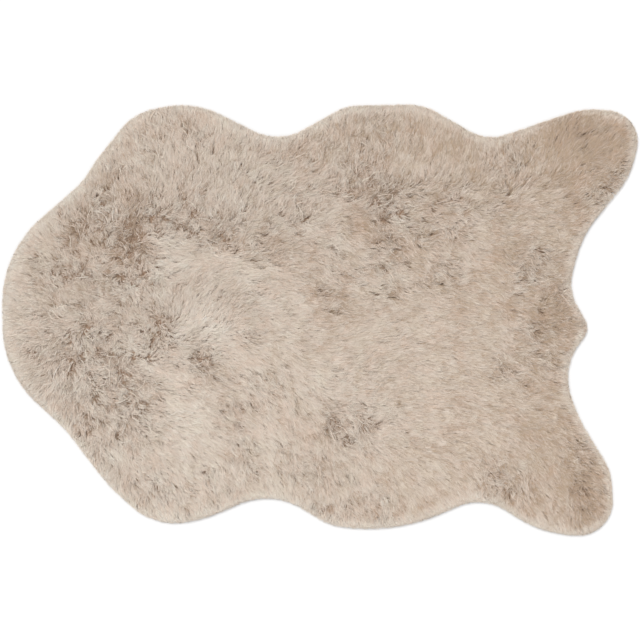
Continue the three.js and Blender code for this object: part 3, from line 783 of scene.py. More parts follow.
class Shade:
    """The node tree of a material or world, with one method that adds any node."""

    def __init__(self, owner: bpy.types.Material | bpy.types.World) -> None:
        """Empty the owner's node tree."""
        self.owner = owner
        owner.use_nodes = True
        self.tree = owner.node_tree
        self.tree.nodes.clear()

    @classmethod
    def of_material(cls, name: str) -> "Shade":
        """Start a new material of that name."""
        return cls(bpy.data.materials.new(name))

    def node(self, kind: str, settings: dict | None = None, sockets: dict | None = None) -> bpy.types.Node:
        """Add a node.

        Args:
            kind: The node's type, such as ShaderNodeMath.
            settings: Attributes that are set first.
            sockets: Inputs, by name or number, as values, sockets or Sock.

        Returns:
            The node.
        """
        made = self.tree.nodes.new(kind)
        for key, value in (settings or {}).items():
            setattr(made, key, value)
        for key, value in (sockets or {}).items():
            self.feed(made.inputs[key], value)
        return made

    def feed(self, socket: bpy.types.NodeSocket, value: object) -> None:
        """Link a socket or set its value."""
        if isinstance(value, Sock):
            self.tree.links.new(value.socket, socket)
        elif isinstance(value, bpy.types.NodeSocket):
            self.tree.links.new(value, socket)
        else:
            socket.default_value = value

    def ramp(self, factor: "Sock", stops: tuple[tuple[float, tuple[float, float, float]], ...]) -> "Sock":
        """Return a colour ramp of (place, linear colour) stops over a factor."""
        made = self.node("ShaderNodeValToRGB", None, {0: factor})
        made.color_ramp.interpolation = "EASE"
        elements = made.color_ramp.elements
        while len(elements) < len(stops):
            elements.new(0.5)
        for element, (place, colour) in zip(elements, stops):
            element.position = place
            element.color = (*colour, 1.0)
        return Sock(self, made.outputs["Color"])

    def mix(self, factor: object, a: object, b: object, blend: str = "MIX") -> "Sock":
        """Return two colours mixed or blended by a factor."""
        made = self.node("ShaderNodeMix", {"data_type": "RGBA", "blend_type": blend}, {0: factor})
        self.feed(made.inputs[6], a)
        self.feed(made.inputs[7], b)
        return Sock(self, made.outputs[2])

    def surface(self, **sockets: object) -> bpy.types.Material:
        """Finish the material with a Principled shader and return it."""
        named = {key.replace("_", " ").title().replace("Ior", "IOR"): value for key, value in sockets.items()}
        principled = self.node("ShaderNodeBsdfPrincipled", None, named)
        return self.finish("ShaderNodeOutputMaterial", principled.outputs[0])

    def finish(self, output: str, surface: bpy.types.NodeSocket) -> bpy.types.Material | bpy.types.World:
        """Link a surface to an output node of that kind and return the material or world."""
        self.node(output, None, {"Surface": surface})
        return self.owner


@dataclass(frozen=True)
class Sock:
    """A node's output as a number, for sums written as Python."""

    shade: Shade
    socket: bpy.types.NodeSocket

    def _math(self, operation: str, *values: object) -> "Sock":
        """Return the result of a Math node on these values."""
        made = self.shade.node("ShaderNodeMath", {"operation": operation}, dict(enumerate(values)))
        return Sock(self.shade, made.outputs[0])

    def __add__(self, other: object) -> "Sock":
        """Return self + other."""
        return self._math("ADD", self, other)

    def __radd__(self, other: object) -> "Sock":
        """Return other + self."""
        return self._math("ADD", other, self)

    def __sub__(self, other: object) -> "Sock":
        """Return self - other."""
        return self._math("SUBTRACT", self, other)

    def __rsub__(self, other: object) -> "Sock":
        """Return other - self."""
        return self._math("SUBTRACT", other, self)

    def __mul__(self, other: object) -> "Sock":
        """Return self * other."""
        return self._math("MULTIPLY", self, other)

    def __rmul__(self, other: object) -> "Sock":
        """Return other * self."""
        return self._math("MULTIPLY", other, self)

    def larger(self, other: object) -> "Sock":
        """Return the larger of self and other."""
        return self._math("MAXIMUM", self, other)

    def fraction(self) -> "Sock":
        """Return the part after the decimal point."""
        return self._math("FRACT", self)

    def floor(self) -> "Sock":
        """Return the whole part."""
        return self._math("FLOOR", self)


def linear(red: int, green: int, blue: int) -> tuple[float, float, float]:
    """Return a colour written in display values from 0 to 255 as linear numbers."""
    def one(value: float) -> float:
        """Return one channel's linear value."""
        value /= 255
        return value / 12.92 if value <= 0.04045 else ((value + 0.055) / 1.055) ** 2.4
    return one(red), one(green), one(blue)


# --------------------------------------------------------------------------- finishes


@dataclass(frozen=True)
class WoolFinish:
    """Taupe wool, brown and dull at the root and pale at the tip, in three tints.

    The strands' map holds the tone across and, in one band for each tint, the way from root to tip up.
    """

    tints: int = 3
    band_margin: float = 0.04
    tone_share: float = 0.62
    root_to_tip: float = 0.50
    darker: float = 0.08

    def material(self) -> bpy.types.Material:
        """Return the wool's material."""
        shade = Shade.of_material("taupe_wool")
        uv = shade.node("ShaderNodeUVMap", {"uv_map": STRAND_MAP})
        split = shade.node("ShaderNodeSeparateXYZ", None, {0: uv.outputs[0]})
        tone, band = Sock(shade, split.outputs[0]), Sock(shade, split.outputs[1]) * self.tints
        along = (band.fraction() - self.band_margin) * (1 / (1 - 2 * self.band_margin))
        tint = band.floor() * (1 / (self.tints - 1))
        lightness = along * self.root_to_tip + tone * self.tone_share - self.darker
        wool = shade.ramp(lightness, (
            (0.00, linear(144, 117, 94)),
            (0.25, linear(191, 167, 144)),
            (0.50, linear(224, 209, 194)),
            (0.75, linear(238, 228, 214)),
            (1.00, linear(247, 241, 234)),
        ))
        cast = shade.ramp(tint, (
            (0.0, (1.019, 0.988, 0.977)),
            (0.5, (0.996, 1.001, 1.011)),
            (1.0, (0.998, 1.003, 0.990)),
        ))
        wool = shade.mix(1.0, wool, cast, "MULTIPLY")
        return shade.surface(
            base_color=wool, roughness=0.75, specular_ior_level=0.2,
            sheen_weight=0.10, sheen_roughness=0.5,
        )


@dataclass(frozen=True)
class UnderwoolFinish:
    """The felted wool between the strands' roots: dull brown, mottled."""

    def material(self) -> bpy.types.Material:
        """Return the underwool's material."""
        shade = Shade.of_material("underwool")
        place = shade.node("ShaderNodeTexCoord")
        noise = shade.node("ShaderNodeTexNoise", None, {
            "Vector": place.outputs["Object"], "Scale": 180.0, "Detail": 4.0, "Roughness": 0.7,
        })
        colour = shade.ramp(Sock(shade, noise.outputs[0]), (
            (0.35, linear(147, 119, 97)), (0.65, linear(196, 169, 145)),
        ))
        return shade.surface(base_color=colour, roughness=0.9)


@dataclass(frozen=True)
class LeatherFinish:
    """The tanned flesh side: pale suede with soft blotches and a fine nap."""

    def material(self) -> bpy.types.Material:
        """Return the leather's material."""
        shade = Shade.of_material("suede_leather")
        place = shade.node("ShaderNodeTexCoord")
        blotches = shade.node("ShaderNodeTexNoise", None, {
            "Vector": place.outputs["Object"], "Scale": 5.0, "Detail": 5.0, "Roughness": 0.65,
        })
        nap = shade.node("ShaderNodeTexNoise", None, {
            "Vector": place.outputs["Object"], "Scale": 400.0, "Detail": 2.0,
        })
        colour = shade.ramp(Sock(shade, blotches.outputs[0]), (
            (0.30, linear(196, 170, 138)), (0.70, linear(222, 200, 170)),
        ))
        bump = shade.node("ShaderNodeBump", None, {
            "Strength": 0.4, "Distance": 0.0005, "Height": nap.outputs[0],
        })
        return shade.surface(base_color=colour, roughness=0.95, normal=bump.outputs[0])


# --------------------------------------------------------------------------- pieces


def mesh_object(name: str, points: np.ndarray, faces: list[np.ndarray]) -> bpy.types.Object:
    """Make a mesh object from arrays.

    Args:
        name: The piece's name.
        points: Rows of (x, y, z), in metres.
        faces: Arrays of corner indices, each of faces with as many corners.

    Returns:
        The object, in the scene.
    """
    mesh = bpy.data.meshes.new(name)
    mesh.vertices.add(len(points))
    mesh.vertices.foreach_set("co", points.astype(np.float32).ravel())
    corners = np.concatenate([f.ravel() for f in faces]).astype(np.int32)
    sizes = np.concatenate([np.full(len(f), f.shape[1]) for f in faces])
    mesh.loops.add(len(corners))
    mesh.loops.foreach_set("vertex_index", corners)
    mesh.polygons.add(len(sizes))
    mesh.polygons.foreach_set("loop_start", (np.cumsum(sizes) - sizes).astype(np.int32))
    mesh.polygons.foreach_set("loop_total", sizes.astype(np.int32))
    mesh.polygons.foreach_set("use_smooth", np.ones(len(sizes), bool))
    mesh.update(calc_edges=True)
    made = bpy.data.objects.new(name, mesh)
    bpy.context.scene.collection.objects.link(made)
    return made


@dataclass
class Hide:
    """The tanned hide and the felted underwool on it, in one thin, closed body.

    Its wall's rows are the inset from the hide's edge and the height of each ring, from the underside up.
    """

    outline: HideOutline
    combing: Combing
    inset: InsetField
    edge_inset: float = 0.022
    felt_height: float = 0.013
    felt_waves: float = 0.001
    step: float = 0.020
    spacing: float = 0.030
    fill_margin: float = 0.028
    wall: tuple[tuple[float, float], ...] = ((0.003, 0.0), (0.000, 0.003), (0.002, 0.008), (0.010, 0.0115))

    def build(self) -> bpy.types.Object:
        """Make the hide and dress it."""
        loops = [self.outline.ring(self.edge_inset + inset, self.step) for inset, _ in self.wall]
        heights = [np.full(len(loop), z) for loop, (_, z) in zip(loops, self.wall)]
        size = len(loops[0])
        points = np.concatenate([np.column_stack([a, z]) for a, z in zip(loops, heights)])
        walls = []
        k = np.arange(size)
        for i in range(len(self.wall) - 1):
            a, b = i * size + k, i * size + (k + 1) % size
            walls.append(np.stack([a, b, b + size, a + size], 1))
        top_points, top_faces = self._fill(loops[-1], (len(self.wall) - 1) * size, len(points))
        points = np.concatenate([points, self._felt(top_points)])
        low_points, low_faces = self._fill(loops[0], 0, len(points))
        points = np.concatenate([points, np.column_stack([low_points, np.zeros(len(low_points))])])
        made = mesh_object("hide", points, [np.concatenate(walls), top_faces, low_faces[:, ::-1]])
        for finish in (UnderwoolFinish(), LeatherFinish()):
            made.data.materials.append(finish.material())
        slots = np.zeros(len(made.data.polygons), np.int32)
        slots[-len(low_faces):] = 1
        made.data.polygons.foreach_set("material_index", slots)
        return made

    def _felt(self, points: np.ndarray) -> np.ndarray:
        """Return the felt's top points, with their heights."""
        waves = self.felt_waves * SmoothNoise(41, 0.09, 2).at(points)
        return np.column_stack([points, self.felt_height + waves])

    def _fill(self, loop: np.ndarray, loop_start: int, next_index: int) -> tuple[np.ndarray, np.ndarray]:
        """Fill a loop with even triangles.

        Args:
            loop: The loop's points, counter-clockwise.
            loop_start: The index that the mesh gives the loop's first point.
            next_index: The index that it will give the first new point.

        Returns:
            The new points inside the loop, and the triangles as the mesh's indices.
        """
        grid = self.combing.grid.points
        depth = self.inset.depth.ravel()
        cells = np.round(grid / self.combing.grid.cell).astype(int)
        stride = round(self.spacing / self.combing.grid.cell)
        inner = grid[(cells % stride == 0).all(1) & (depth > self.edge_inset + self.fill_margin)]
        size = len(loop)
        edges = [(k, (k + 1) % size) for k in range(size)]
        points = [tuple(p) for p in np.concatenate([loop, inner]).tolist()]
        verts, _, faces, origin, _, _ = delaunay_2d_cdt(points, edges, [], 1, 1e-7)
        sources = np.array([o[0] for o in origin])
        index = np.where(sources < size, sources + loop_start, sources - size + next_index)
        return inner, index[np.array(faces)]


class Band(Enum):
    """The lengthwise bands in which the wool is made."""

    HEAD = "wool_head"
    SHOULDERS = "wool_shoulders"
    BACK = "wool_back"
    LOIN = "wool_loin"
    RUMP = "wool_rump"


@dataclass
class Locks:
    """The locks of wool: where each stands, how it lies and how light it is."""

    root: np.ndarray
    tip: np.ndarray
    rise: np.ndarray
    droop: np.ndarray
    bend: np.ndarray
    tone: np.ndarray
    tint: np.ndarray
    ruffle: np.ndarray
    copies: int = 1

    def each(self, values: np.ndarray) -> np.ndarray:
        """Return a value of each lock for each of its strands."""
        return np.repeat(values, self.copies, axis=0)


@dataclass
class Strands:
    """Strands: the line of each, from root over its bend to its tip, and how it looks."""

    line: np.ndarray
    width: np.ndarray
    roll: np.ndarray
    lean: np.ndarray
    tone: np.ndarray
    tint: np.ndarray
    start: np.ndarray

    def pick(self, rows: np.ndarray) -> "Strands":
        """Return some of the strands."""
        return Strands(*(getattr(self, name)[rows] for name in self.__dataclass_fields__))

    @classmethod
    def joined(cls, *groups: "Strands") -> "Strands":
        """Return all the strands of some groups."""
        return cls(*(np.concatenate([getattr(g, name) for g in groups]) for name in cls.__dataclass_fields__))


@dataclass
class Wool:
    """The pile: strands that stand in locks, are combed over, and roll down at the edge."""

    outline: HideOutline
    combing: Combing
    inset: InsetField
    seed: int = 7
    finish: WoolFinish = field(default_factory=WoolFinish)
    half_length: float = 1.42
    half_width: float = 0.96

    # the pile's section
    length: float = 0.062
    ruffled_length: float = 0.045
    felt_height: float = 0.010
    top: float = 0.040
    lowest: float = 0.0012
    rim_height: float = 0.009
    shoulder: float = 0.044
    root_inset: float = 0.026
    fade: float = 0.013
    rim_depth: float = 0.011
    rim_painted_light: float = 0.65
    # painted light: how much paler the wool near the rim is painted, against the shade of the rolled edge
    rim_hang: float = 0.85
    fall_depth: float = 0.040
    fall_calming: float = 0.55
    fall_pull: float = 0.9
    least_flat: float = 0.45
    upright_reach: float = 0.20
    flat_reach: float = 0.70

    # tufts
    tuft_spacing: float = 0.026
    tuft_jitter: float = 0.45
    tuft_turn: Varying = Varying(0.05, 0.65)
    tuft_whirl: float = 2.0
    tuft_upright: float = 0.7
    tuft_tone: Varying = Varying(0.042, 0.070)
    tuft_bend: Varying = Varying(0.04, 0.20)
    tuft_height: Varying = Varying(0.05, 0.12)
    tuft_lengths: tuple[float, float] = (-0.12, 0.10)
    tuft_share: Varying = Varying(0.25, 0.50)

    # locks
    lock_spacing: float = 0.0055
    lock_jitter: float = 0.5
    lock_radius: float = 0.0018
    strands_in_lock: int = 3
    lock_turn: Varying = Varying(0.06, 0.32)
    lock_whirl: float = 1.5
    lock_lengths: tuple[float, float] = (-0.24, 0.16)
    lock_heights: tuple[float, float] = (-0.28, 0.12)
    lock_bend: Varying = Varying(0.05, 0.28)
    lock_tone: Varying = Varying(0.055, 0.070)
    middle_tone: float = 0.512
    # clumps differ in tone, and higher clumps are painted lighter and lower ones darker, as painted light and
    # shade
    clump_tone_and_painted_light: Varying = Varying(0.04, 0.06)
    clump_height: Varying = Varying(0.07, 0.12)
    line_width: float = 0.12
    line_tone: float = 0.30
    line_height: float = 0.2
    sunk_share: float = 0.24
    sunk_tone: float = 0.26
    sunk_height: float = 0.25
    raised_share: float = 0.12
    raised_tone: float = 0.22
    raised_height: float = 0.08
    most_droop: float = 0.35
    tint_spread: float = 0.50

    # strands
    strand_width: float = 0.0019
    strand_turn: Varying = Varying(0.04, 0.10)
    strand_lengths: tuple[float, float] = (-0.28, 0.12)
    strand_heights: tuple[float, float] = (-0.22, 0.10)
    strand_bend: Varying = Varying(0.03, 0.04)
    strand_tone: Varying = Varying(0.048, 0.060)
    strand_roll: Varying = Varying(0.08, 0.37)
    bend_place: float = 0.45
    gather: Varying = Varying(0.05, 0.60)
    gather_spread: float = 0.35
    stray_share: Varying = Varying(0.075, -0.015)
    stray_longer: float = 0.40
    stray_rise: float = 0.003
    stray_tone: tuple[float, float] = (0.05, 0.11)
    stray_thinner: float = 0.2
    hidden_start: float = 0.30
    upward: float = 0.75
    roundness: float = 0.55
    gap_drop: float = 0.55
    # painted shade: how much darker strands are painted where they end in a gap or stop short of one
    gap_painted_shade: float = 0.20
    gap_step: float = 0.065
    gap_clear: float = 0.08
    least_share: float = 0.12

    # fringe
    fringe_rows: int = 3
    fringe_inset: float = 0.020
    fringe_row_step: float = 0.004
    fringe_spacing: float = 0.0012
    fringe_turn: float = 0.55
    fringe_reach: tuple[float, float] = (0.020, 0.034)
    fringe_width: tuple[float, float] = (0.0008, 0.0013)
    fringe_root_height: float = 0.014
    fringe_root_inset: float = 0.016
    fringe_past_rim: float = 0.003
    fringe_tone: float = 0.85

    # wisps
    wisp_spacing: float = 0.030
    wisp_share: float = 0.42
    wisp_strands: int = 18
    wisp_height: float = 0.0355
    wisp_length: tuple[float, float] = (0.030, 0.085)
    wisp_curl: tuple[float, float] = (2.0, 22.0)
    wisp_tone: float = 0.66
    wisp_starts: float = 0.7
    wisp_taper: float = 0.005
    wisp_width: tuple[float, float] = (0.0012, 0.0020)

    def _lattice(self, spacing: float, jitter: float, rng: np.random.Generator) -> np.ndarray:
        """Return a loose hexagonal lattice of (x, y) over the hide."""
        x = np.arange(-self.half_length, self.half_length, spacing)
        y = np.arange(-self.half_width, self.half_width, spacing * math.sqrt(3) / 2)
        xx, yy = np.meshgrid(x, y, indexing="ij")
        xx = xx + (np.arange(len(y)) % 2) * spacing / 2
        points = np.stack([xx.ravel(), yy.ravel()], 1)
        points += rng.uniform(-jitter, jitter, points.shape) * spacing
        depth, _ = self.inset.at(points)
        return points[depth > self.root_inset]

    def roll(self, depth: np.ndarray) -> np.ndarray:
        """Return how high the wool may stand at an inset from the outline."""
        share = np.clip(1 - depth / self.shoulder, 0, 1)
        return self.rim_height + (self.top - self.rim_height) * np.sqrt(1 - share ** 2)

    def _lay_at(self, points: np.ndarray) -> tuple[np.ndarray, np.ndarray, np.ndarray]:
        """Return the combed direction, how flat the wool lies, and how ruffled it is."""
        depth, inward = self.inset.at(points)
        grid = self.combing.grid
        lay = grid.read(self.combing.lay, points)
        ruffle = grid.read(self.combing.ruffle, points)
        fall = np.exp(-(depth - self.root_inset) / self.fall_depth)[:, None]
        lay = lay * (1 - self.fall_calming * fall) - self.fall_pull * fall * inward
        size = np.linalg.norm(lay, axis=1)
        return lay / np.maximum(size, TINY)[:, None], np.clip(size, self.least_flat, 1.0), ruffle

    def _length(self, ruffle: np.ndarray) -> np.ndarray:
        """Return the wool's length for how ruffled it is."""
        return self.length + (self.ruffled_length - self.length) * ruffle

    def _reach(self, flat: np.ndarray) -> np.ndarray:
        """Return how far wool of a unit's length reaches aside, for how flat it lies."""
        return self.upright_reach + self.flat_reach * flat

    def locks(self, rng: np.random.Generator) -> Locks:
        """Stand the locks, tuft by tuft, and comb them."""
        tufts = self._lattice(self.tuft_spacing, self.tuft_jitter, rng)
        way, flat, ruffle = self._lay_at(tufts)
        count = len(tufts)
        tuft_way = turned(way, rng.normal(0, self.tuft_turn.at(ruffle) + self.tuft_whirl * (1 - flat) ** 2))
        tuft_flat = flat * (1 - ruffle * rng.uniform(0.0, self.tuft_upright, count))
        tuft_tone = rng.normal(0, self.tuft_tone.at(ruffle))
        tuft_bend = rng.normal(0, self.tuft_bend.at(ruffle))
        tuft_high = 1 + rng.normal(0, self.tuft_height.at(ruffle))
        tuft_long = 1 + rng.uniform(*self.tuft_lengths, count) * grown(0.3, ruffle)
        tuft_tip = tufts + tuft_way * (self._length(ruffle) * self._reach(tuft_flat) * tuft_long)[:, None]
        tree = KDTree(count)
        for k, (x, y) in enumerate(tufts):
            tree.insert((x, y, 0), k)
        tree.balance()

        root = self._lattice(self.lock_spacing, self.lock_jitter, rng)
        n = len(root)
        mine = np.array([tree.find((x, y, 0))[1] for x, y in root])
        own_way, own_flat, ruffle = self._lay_at(root)
        share = self.tuft_share.at(ruffle)[:, None]
        way = tuft_way[mine] * share + own_way * (1 - share)
        turn = rng.normal(0, self.lock_turn.at(ruffle) + self.lock_whirl * (1 - own_flat) ** 2)
        way = turned(way / np.maximum(np.linalg.norm(way, axis=1), TINY)[:, None], turn)
        flat = (tuft_flat[mine] + own_flat * (1 - 0.3 * ruffle)) / 2
        long = 1 + rng.uniform(*self.lock_lengths, n) * grown(0.35, ruffle)
        long = self._length(ruffle) * tuft_long[mine] * long
        tip = root + way * (long * self._reach(flat))[:, None]
        pull = (0.04 + 0.34 * ruffle * rng.uniform(0.2, 1.0, n))[:, None]
        tip = tip * (1 - pull) + tuft_tip[mine] * pull
        sunk = rng.random(n) < self.sunk_share * ruffle
        raised = rng.random(n) < self.raised_share * ruffle
        clump = SmoothNoise(52, 0.013, 2).at(tip) + SmoothNoise(55, 0.024).at(tip)
        line = np.exp(-(SmoothNoise(53, 0.040, 2).at(tip) / self.line_width) ** 2)
        line *= ruffle * np.clip(0.3 + SmoothNoise(54, 0.05).at(tip), 0, 1)
        rise = self.length * (0.50 - 0.16 * flat) * (1 - 0.12 * ruffle) * tuft_high[mine]
        rise *= 1 + self.clump_height.at(ruffle) * clump + self.line_height * line
        rise *= 1 + rng.uniform(*self.lock_heights, n) * grown(0.10, ruffle)
        rise *= 1 - self.sunk_height * sunk + self.raised_height * raised
        droop = 1 - rng.uniform(0.0, self.most_droop, n) * grown(0.4, ruffle)
        bend = tuft_bend[mine] + rng.normal(0, self.lock_bend.at(ruffle))
        tone = self.middle_tone + self.combing.grid.read(self.combing.tone, root) + tuft_tone[mine]
        # Higher clumps are painted lighter and lower ones darker: painted light and shade, with a tone of
        # their own.
        tone += self.clump_tone_and_painted_light.at(ruffle) * clump + self.line_tone * line
        tone += rng.normal(0, self.lock_tone.at(ruffle)) - self.sunk_tone * sunk + self.raised_tone * raised
        tint = 1.2 - ruffle + 0.9 * SmoothNoise(51, 0.05, 2).at(root) + rng.normal(0, self.tint_spread, n)
        return Locks(
            root=root, tip=tip, rise=rise, droop=droop, bend=bend, tone=tone, ruffle=ruffle,
            tint=np.clip(np.round(tint), 0, self.finish.tints - 1), copies=self.strands_in_lock,
        )

    def strands(self, locks: Locks, rng: np.random.Generator) -> Strands:
        """Draw each lock out into its strands."""
        each = locks.each
        ruffle = each(locks.ruffle)
        total = len(ruffle)
        offset = rng.normal(0, self.lock_radius, (total, 2))
        root = each(locks.root) + offset
        run = each(locks.tip - locks.root)
        reach = np.linalg.norm(run, axis=1)
        way = turned(run / np.maximum(reach, TINY)[:, None], rng.normal(0, self.strand_turn.at(ruffle)))
        aside = np.stack([-way[:, 1], way[:, 0]], 1)
        stray = rng.random(total) < self.stray_share.at(ruffle)
        longer = 1 + rng.uniform(*self.strand_lengths, total) * grown(0.4, ruffle)
        reach = reach * longer * (1 + self.stray_longer * stray)
        share = self._share_before_gap(root, way * reach[:, None], rng)
        reach = reach * share
        spread = (offset * aside).sum(1)
        gather = self.gather.at(ruffle) + rng.uniform(0, self.gather_spread, total)
        bend = (each(locks.bend) + rng.normal(0, self.strand_bend.at(ruffle)) * (1 + 2 * stray)) * reach
        tip = root + way * reach[:, None] - aside * (spread * gather)[:, None]
        middle = root + way * (self.bend_place * reach)[:, None]
        middle += aside * (bend - 0.4 * spread * gather)[:, None]
        rise = each(locks.rise) * (1 + rng.uniform(*self.strand_heights, total) * grown(0.25, ruffle))
        rise *= 1 - self.gap_drop * (1 - share)
        root_z = np.full(total, self.felt_height)
        stray_z = root_z + self.stray_rise * stray
        uneven = grown(0.3, ruffle)
        middle_z = stray_z + rise * (1 - 0.18 * uneven * rng.uniform(0, 1, total))
        tip_z = stray_z + rise * each(locks.droop) * (1 + 0.09 * uneven * rng.uniform(-1, 1, total))
        # Painted shade: strands that end in a gap, or stop short of one, are painted darker.
        shade = self.gap_painted_shade * np.minimum(self.combing.gaps.at(tip) + 0.5 * (1 - share), 1)
        root, root_z = self._kept_in(root, root_z, rng.uniform(0.018, 0.026, total), 0.9)
        low = rng.uniform(0.72, 1.0, total)
        middle, middle_z = self._kept_in(middle, middle_z, rng.uniform(0.004, 0.016, total), low)
        tip, tip_z = self._kept_in(tip, tip_z, self.fade * rng.uniform(0, 1, total) ** 0.8, low)
        # Near the rim the tips hang lower and the wool is painted paler, as painted light on the rolled edge.
        rim = np.exp(-self.inset.at(tip)[0] / self.rim_depth)
        tip_z = tip_z * (1 - self.rim_hang * rng.uniform(0, 1, total) * rim)
        own = rng.normal(0, self.strand_tone.at(ruffle)) + rng.normal(*self.stray_tone, total) * stray
        lean = spread / self.lock_radius * self.roundness * grown(0.4, ruffle)
        return Strands(
            line=line_of((root, root_z), (middle, middle_z), (tip, tip_z)),
            width=self.strand_width * rng.uniform(0.8, 1.25, total) * (1 - self.stray_thinner * stray),
            roll=rng.normal(0, self.strand_roll.at(ruffle)), lean=aside * lean[:, None],
            tone=each(locks.tone) + own + self.rim_painted_light * rim - shade,
            tint=each(locks.tint), start=self.hidden_start * (1 - ruffle) ** 2,
        )

    def _share_before_gap(self, root: np.ndarray, run: np.ndarray, rng: np.random.Generator) -> np.ndarray:
        """Return the share of its way that each strand goes before a gap in the pile opens under it.

        Args:
            root: The strands' roots.
            run: Their way aside, from root to tip.
            rng: The source of chance.

        Returns:
            The shares, 1 where no gap lies in the way.
        """
        share = np.ones(len(root))
        limit = rng.uniform(0.30, 0.85, len(root))
        for step in np.arange(1.0, 0.05, -self.gap_step):
            met = self.combing.gaps.at(root + run * step) > limit
            share = np.where(met, max(step - self.gap_clear, self.least_share), share)
        return share

    def fringe(self, rng: np.random.Generator) -> Strands:
        """Lay the fine, pale hairs that soften the rim."""
        return Strands.joined(*(self._fringe_row(row, rng) for row in range(self.fringe_rows)))

    def _fringe_row(self, row: int, rng: np.random.Generator) -> Strands:
        """Lay one row of the fringe, its roots a little further in than the row before."""
        root, inward = self._fringe_roots(self.fringe_inset + self.fringe_row_step * row, rng)
        total = len(root)
        lay = self.combing.grid.read(self.combing.lay, root)
        lay /= np.maximum(np.linalg.norm(lay, axis=1, keepdims=True), TINY)
        way = 0.45 * lay - 0.9 * inward
        turn = self.fringe_turn * SmoothNoise(71 + row, 0.020, 2).at(root) + rng.normal(0, 0.18, total)
        way = turned(way / np.linalg.norm(way, axis=1, keepdims=True), turn)
        reach = rng.uniform(*self.fringe_reach, total)[:, None]
        aside = np.stack([-way[:, 1], way[:, 0]], 1)
        middle = root + way * 0.5 * reach + aside * rng.normal(0, 0.0015, total)[:, None]
        tip = root + way * reach
        low = rng.uniform(0.5, 1.0, total)
        root_z = np.full(total, self.fringe_root_height)
        root, root_z = self._kept_in(root, root_z, np.full(total, self.fringe_root_inset), 1.0)
        tuft = SmoothNoise(75 + row, 0.014, 2).at(root)
        middle_z = 0.009 + 0.010 * low + 0.003 * tuft
        middle, middle_z = self._kept_in(middle, middle_z, rng.uniform(0.003, 0.010, total), 1.0)
        tip_z = 0.0015 + 0.012 * rng.uniform(0, 1, total) ** 1.2
        least = 0.008 * rng.uniform(0, 1, total) - self.fringe_past_rim * (1 + np.clip(tuft + 0.2, 0, 1))
        tip, tip_z = self._kept_in(tip, tip_z, least, 1.0)
        return Strands(
            line=line_of((root, root_z), (middle, middle_z), (tip, tip_z)),
            width=rng.uniform(*self.fringe_width, total), roll=rng.normal(0, 0.25, total),
            lean=aside * rng.normal(0, 0.10, total)[:, None],
            tone=rng.normal(self.fringe_tone, 0.07, total) + 0.07 * tuft,
            tint=rng.integers(0, 2, total), start=np.zeros(total),
        )

    def _fringe_roots(self, inset: float, rng: np.random.Generator) -> tuple[np.ndarray, np.ndarray]:
        """Return random places along the outline moved inwards, and the way inwards there."""
        ring = self.outline.ring(inset, 0.004)
        closed = np.vstack([ring, ring[:1]])
        way_round = np.concatenate([[0.0], np.cumsum(np.linalg.norm(np.diff(closed, axis=0), axis=1))])
        at = rng.uniform(0, way_round[-1], int(way_round[-1] / self.fringe_spacing))
        root = np.stack([np.interp(at, way_round, closed[:, i]) for i in range(2)], 1)
        return root, self.inset.at(root)[1]

    def wisps(self, rng: np.random.Generator) -> Strands:
        """Lay long, pale, curved wisps over the ruffled wool, each of strands that follow one line."""
        start = self._lattice(self.wisp_spacing, 0.5, rng)
        ruffle = self.combing.grid.read(self.combing.ruffle, start)
        start = start[rng.random(len(start)) < self.wisp_share * ruffle ** 1.5]
        way, _, _ = self._lay_at(start)
        n = len(start)
        heading = np.arctan2(way[:, 1], way[:, 0]) + rng.normal(0, 0.4, n)
        curl = rng.choice([-1.0, 1.0], n) * rng.uniform(*self.wisp_curl, n)
        long = rng.uniform(*self.wisp_length, n)
        tone = self.wisp_tone + self.combing.grid.read(self.combing.tone, start) + rng.normal(0, 0.08, n)
        high = self.wisp_height + rng.uniform(-0.003, 0.002, n)
        rows = np.repeat(np.arange(n), self.wisp_strands)
        total = len(rows)
        along = rng.uniform(0, self.wisp_starts, total)
        reach = rng.uniform(0.25, 0.40, total)
        aside = rng.normal(0, 0.0007, total)

        def place(share: np.ndarray) -> np.ndarray:
            """Return the (x, y) at a share of each strand's wisp."""
            a = heading[rows]
            b = a + curl[rows] * share * long[rows]
            step = np.stack([np.sin(b) - np.sin(a), np.cos(a) - np.cos(b)], 1) / curl[rows][:, None]
            return start[rows] + step + aside[:, None] * np.stack([-np.sin(b), np.cos(b)], 1)

        points = [place(along + reach * k / 2) for k in range(3)]
        ends = self.wisp_taper * np.abs(2 * along / self.wisp_starts - 1) ** 2
        heights = [high[rows] - ends - down for down in (0.004, 0.0, 0.003)]
        kept = [self._kept_in(a, z, np.full(total, 0.006), 1.0) for a, z in zip(points, heights)]
        return Strands(
            line=line_of(*kept), width=rng.uniform(*self.wisp_width, total), roll=rng.normal(0, 0.2, total),
            lean=np.zeros((total, 2)), tone=tone[rows] + rng.normal(0, 0.05, total),
            tint=np.repeat(rng.integers(0, self.finish.tints, n), self.wisp_strands),
            start=np.full(total, 0.5),
        )

    def build(self) -> list[bpy.types.Object]:
        """Make the strands, band by band, and dress them."""
        rng = np.random.default_rng(self.seed)
        strands = Strands.joined(self.strands(self.locks(rng), rng), self.fringe(rng), self.wisps(rng))
        order = np.argsort(strands.line[:, 0, 0], kind="stable")
        material = self.finish.material()
        made = []
        for band, rows in zip(Band, np.array_split(order, len(Band))):
            piece = self._mesh(band.value, strands.pick(rows))
            piece.data.materials.append(material)
            made.append(piece)
        return made

    def _kept_in(
        self, points: np.ndarray, heights: np.ndarray, least: np.ndarray, share: float | np.ndarray
    ) -> tuple[np.ndarray, np.ndarray]:
        """Push points inwards to an inset of their own, and down under the rolled edge.

        Args:
            points: Rows of (x, y).
            heights: Their heights.
            least: The least inset of each.
            share: How much of the roll's height they may reach.

        Returns:
            The points and heights.
        """
        for _ in range(2):
            depth, inward = self.inset.at(points)
            points = points + inward * np.maximum(least - depth, 0)[:, None]
        depth, _ = self.inset.at(points)
        return points, np.minimum(heights, self.roll(depth) * share)

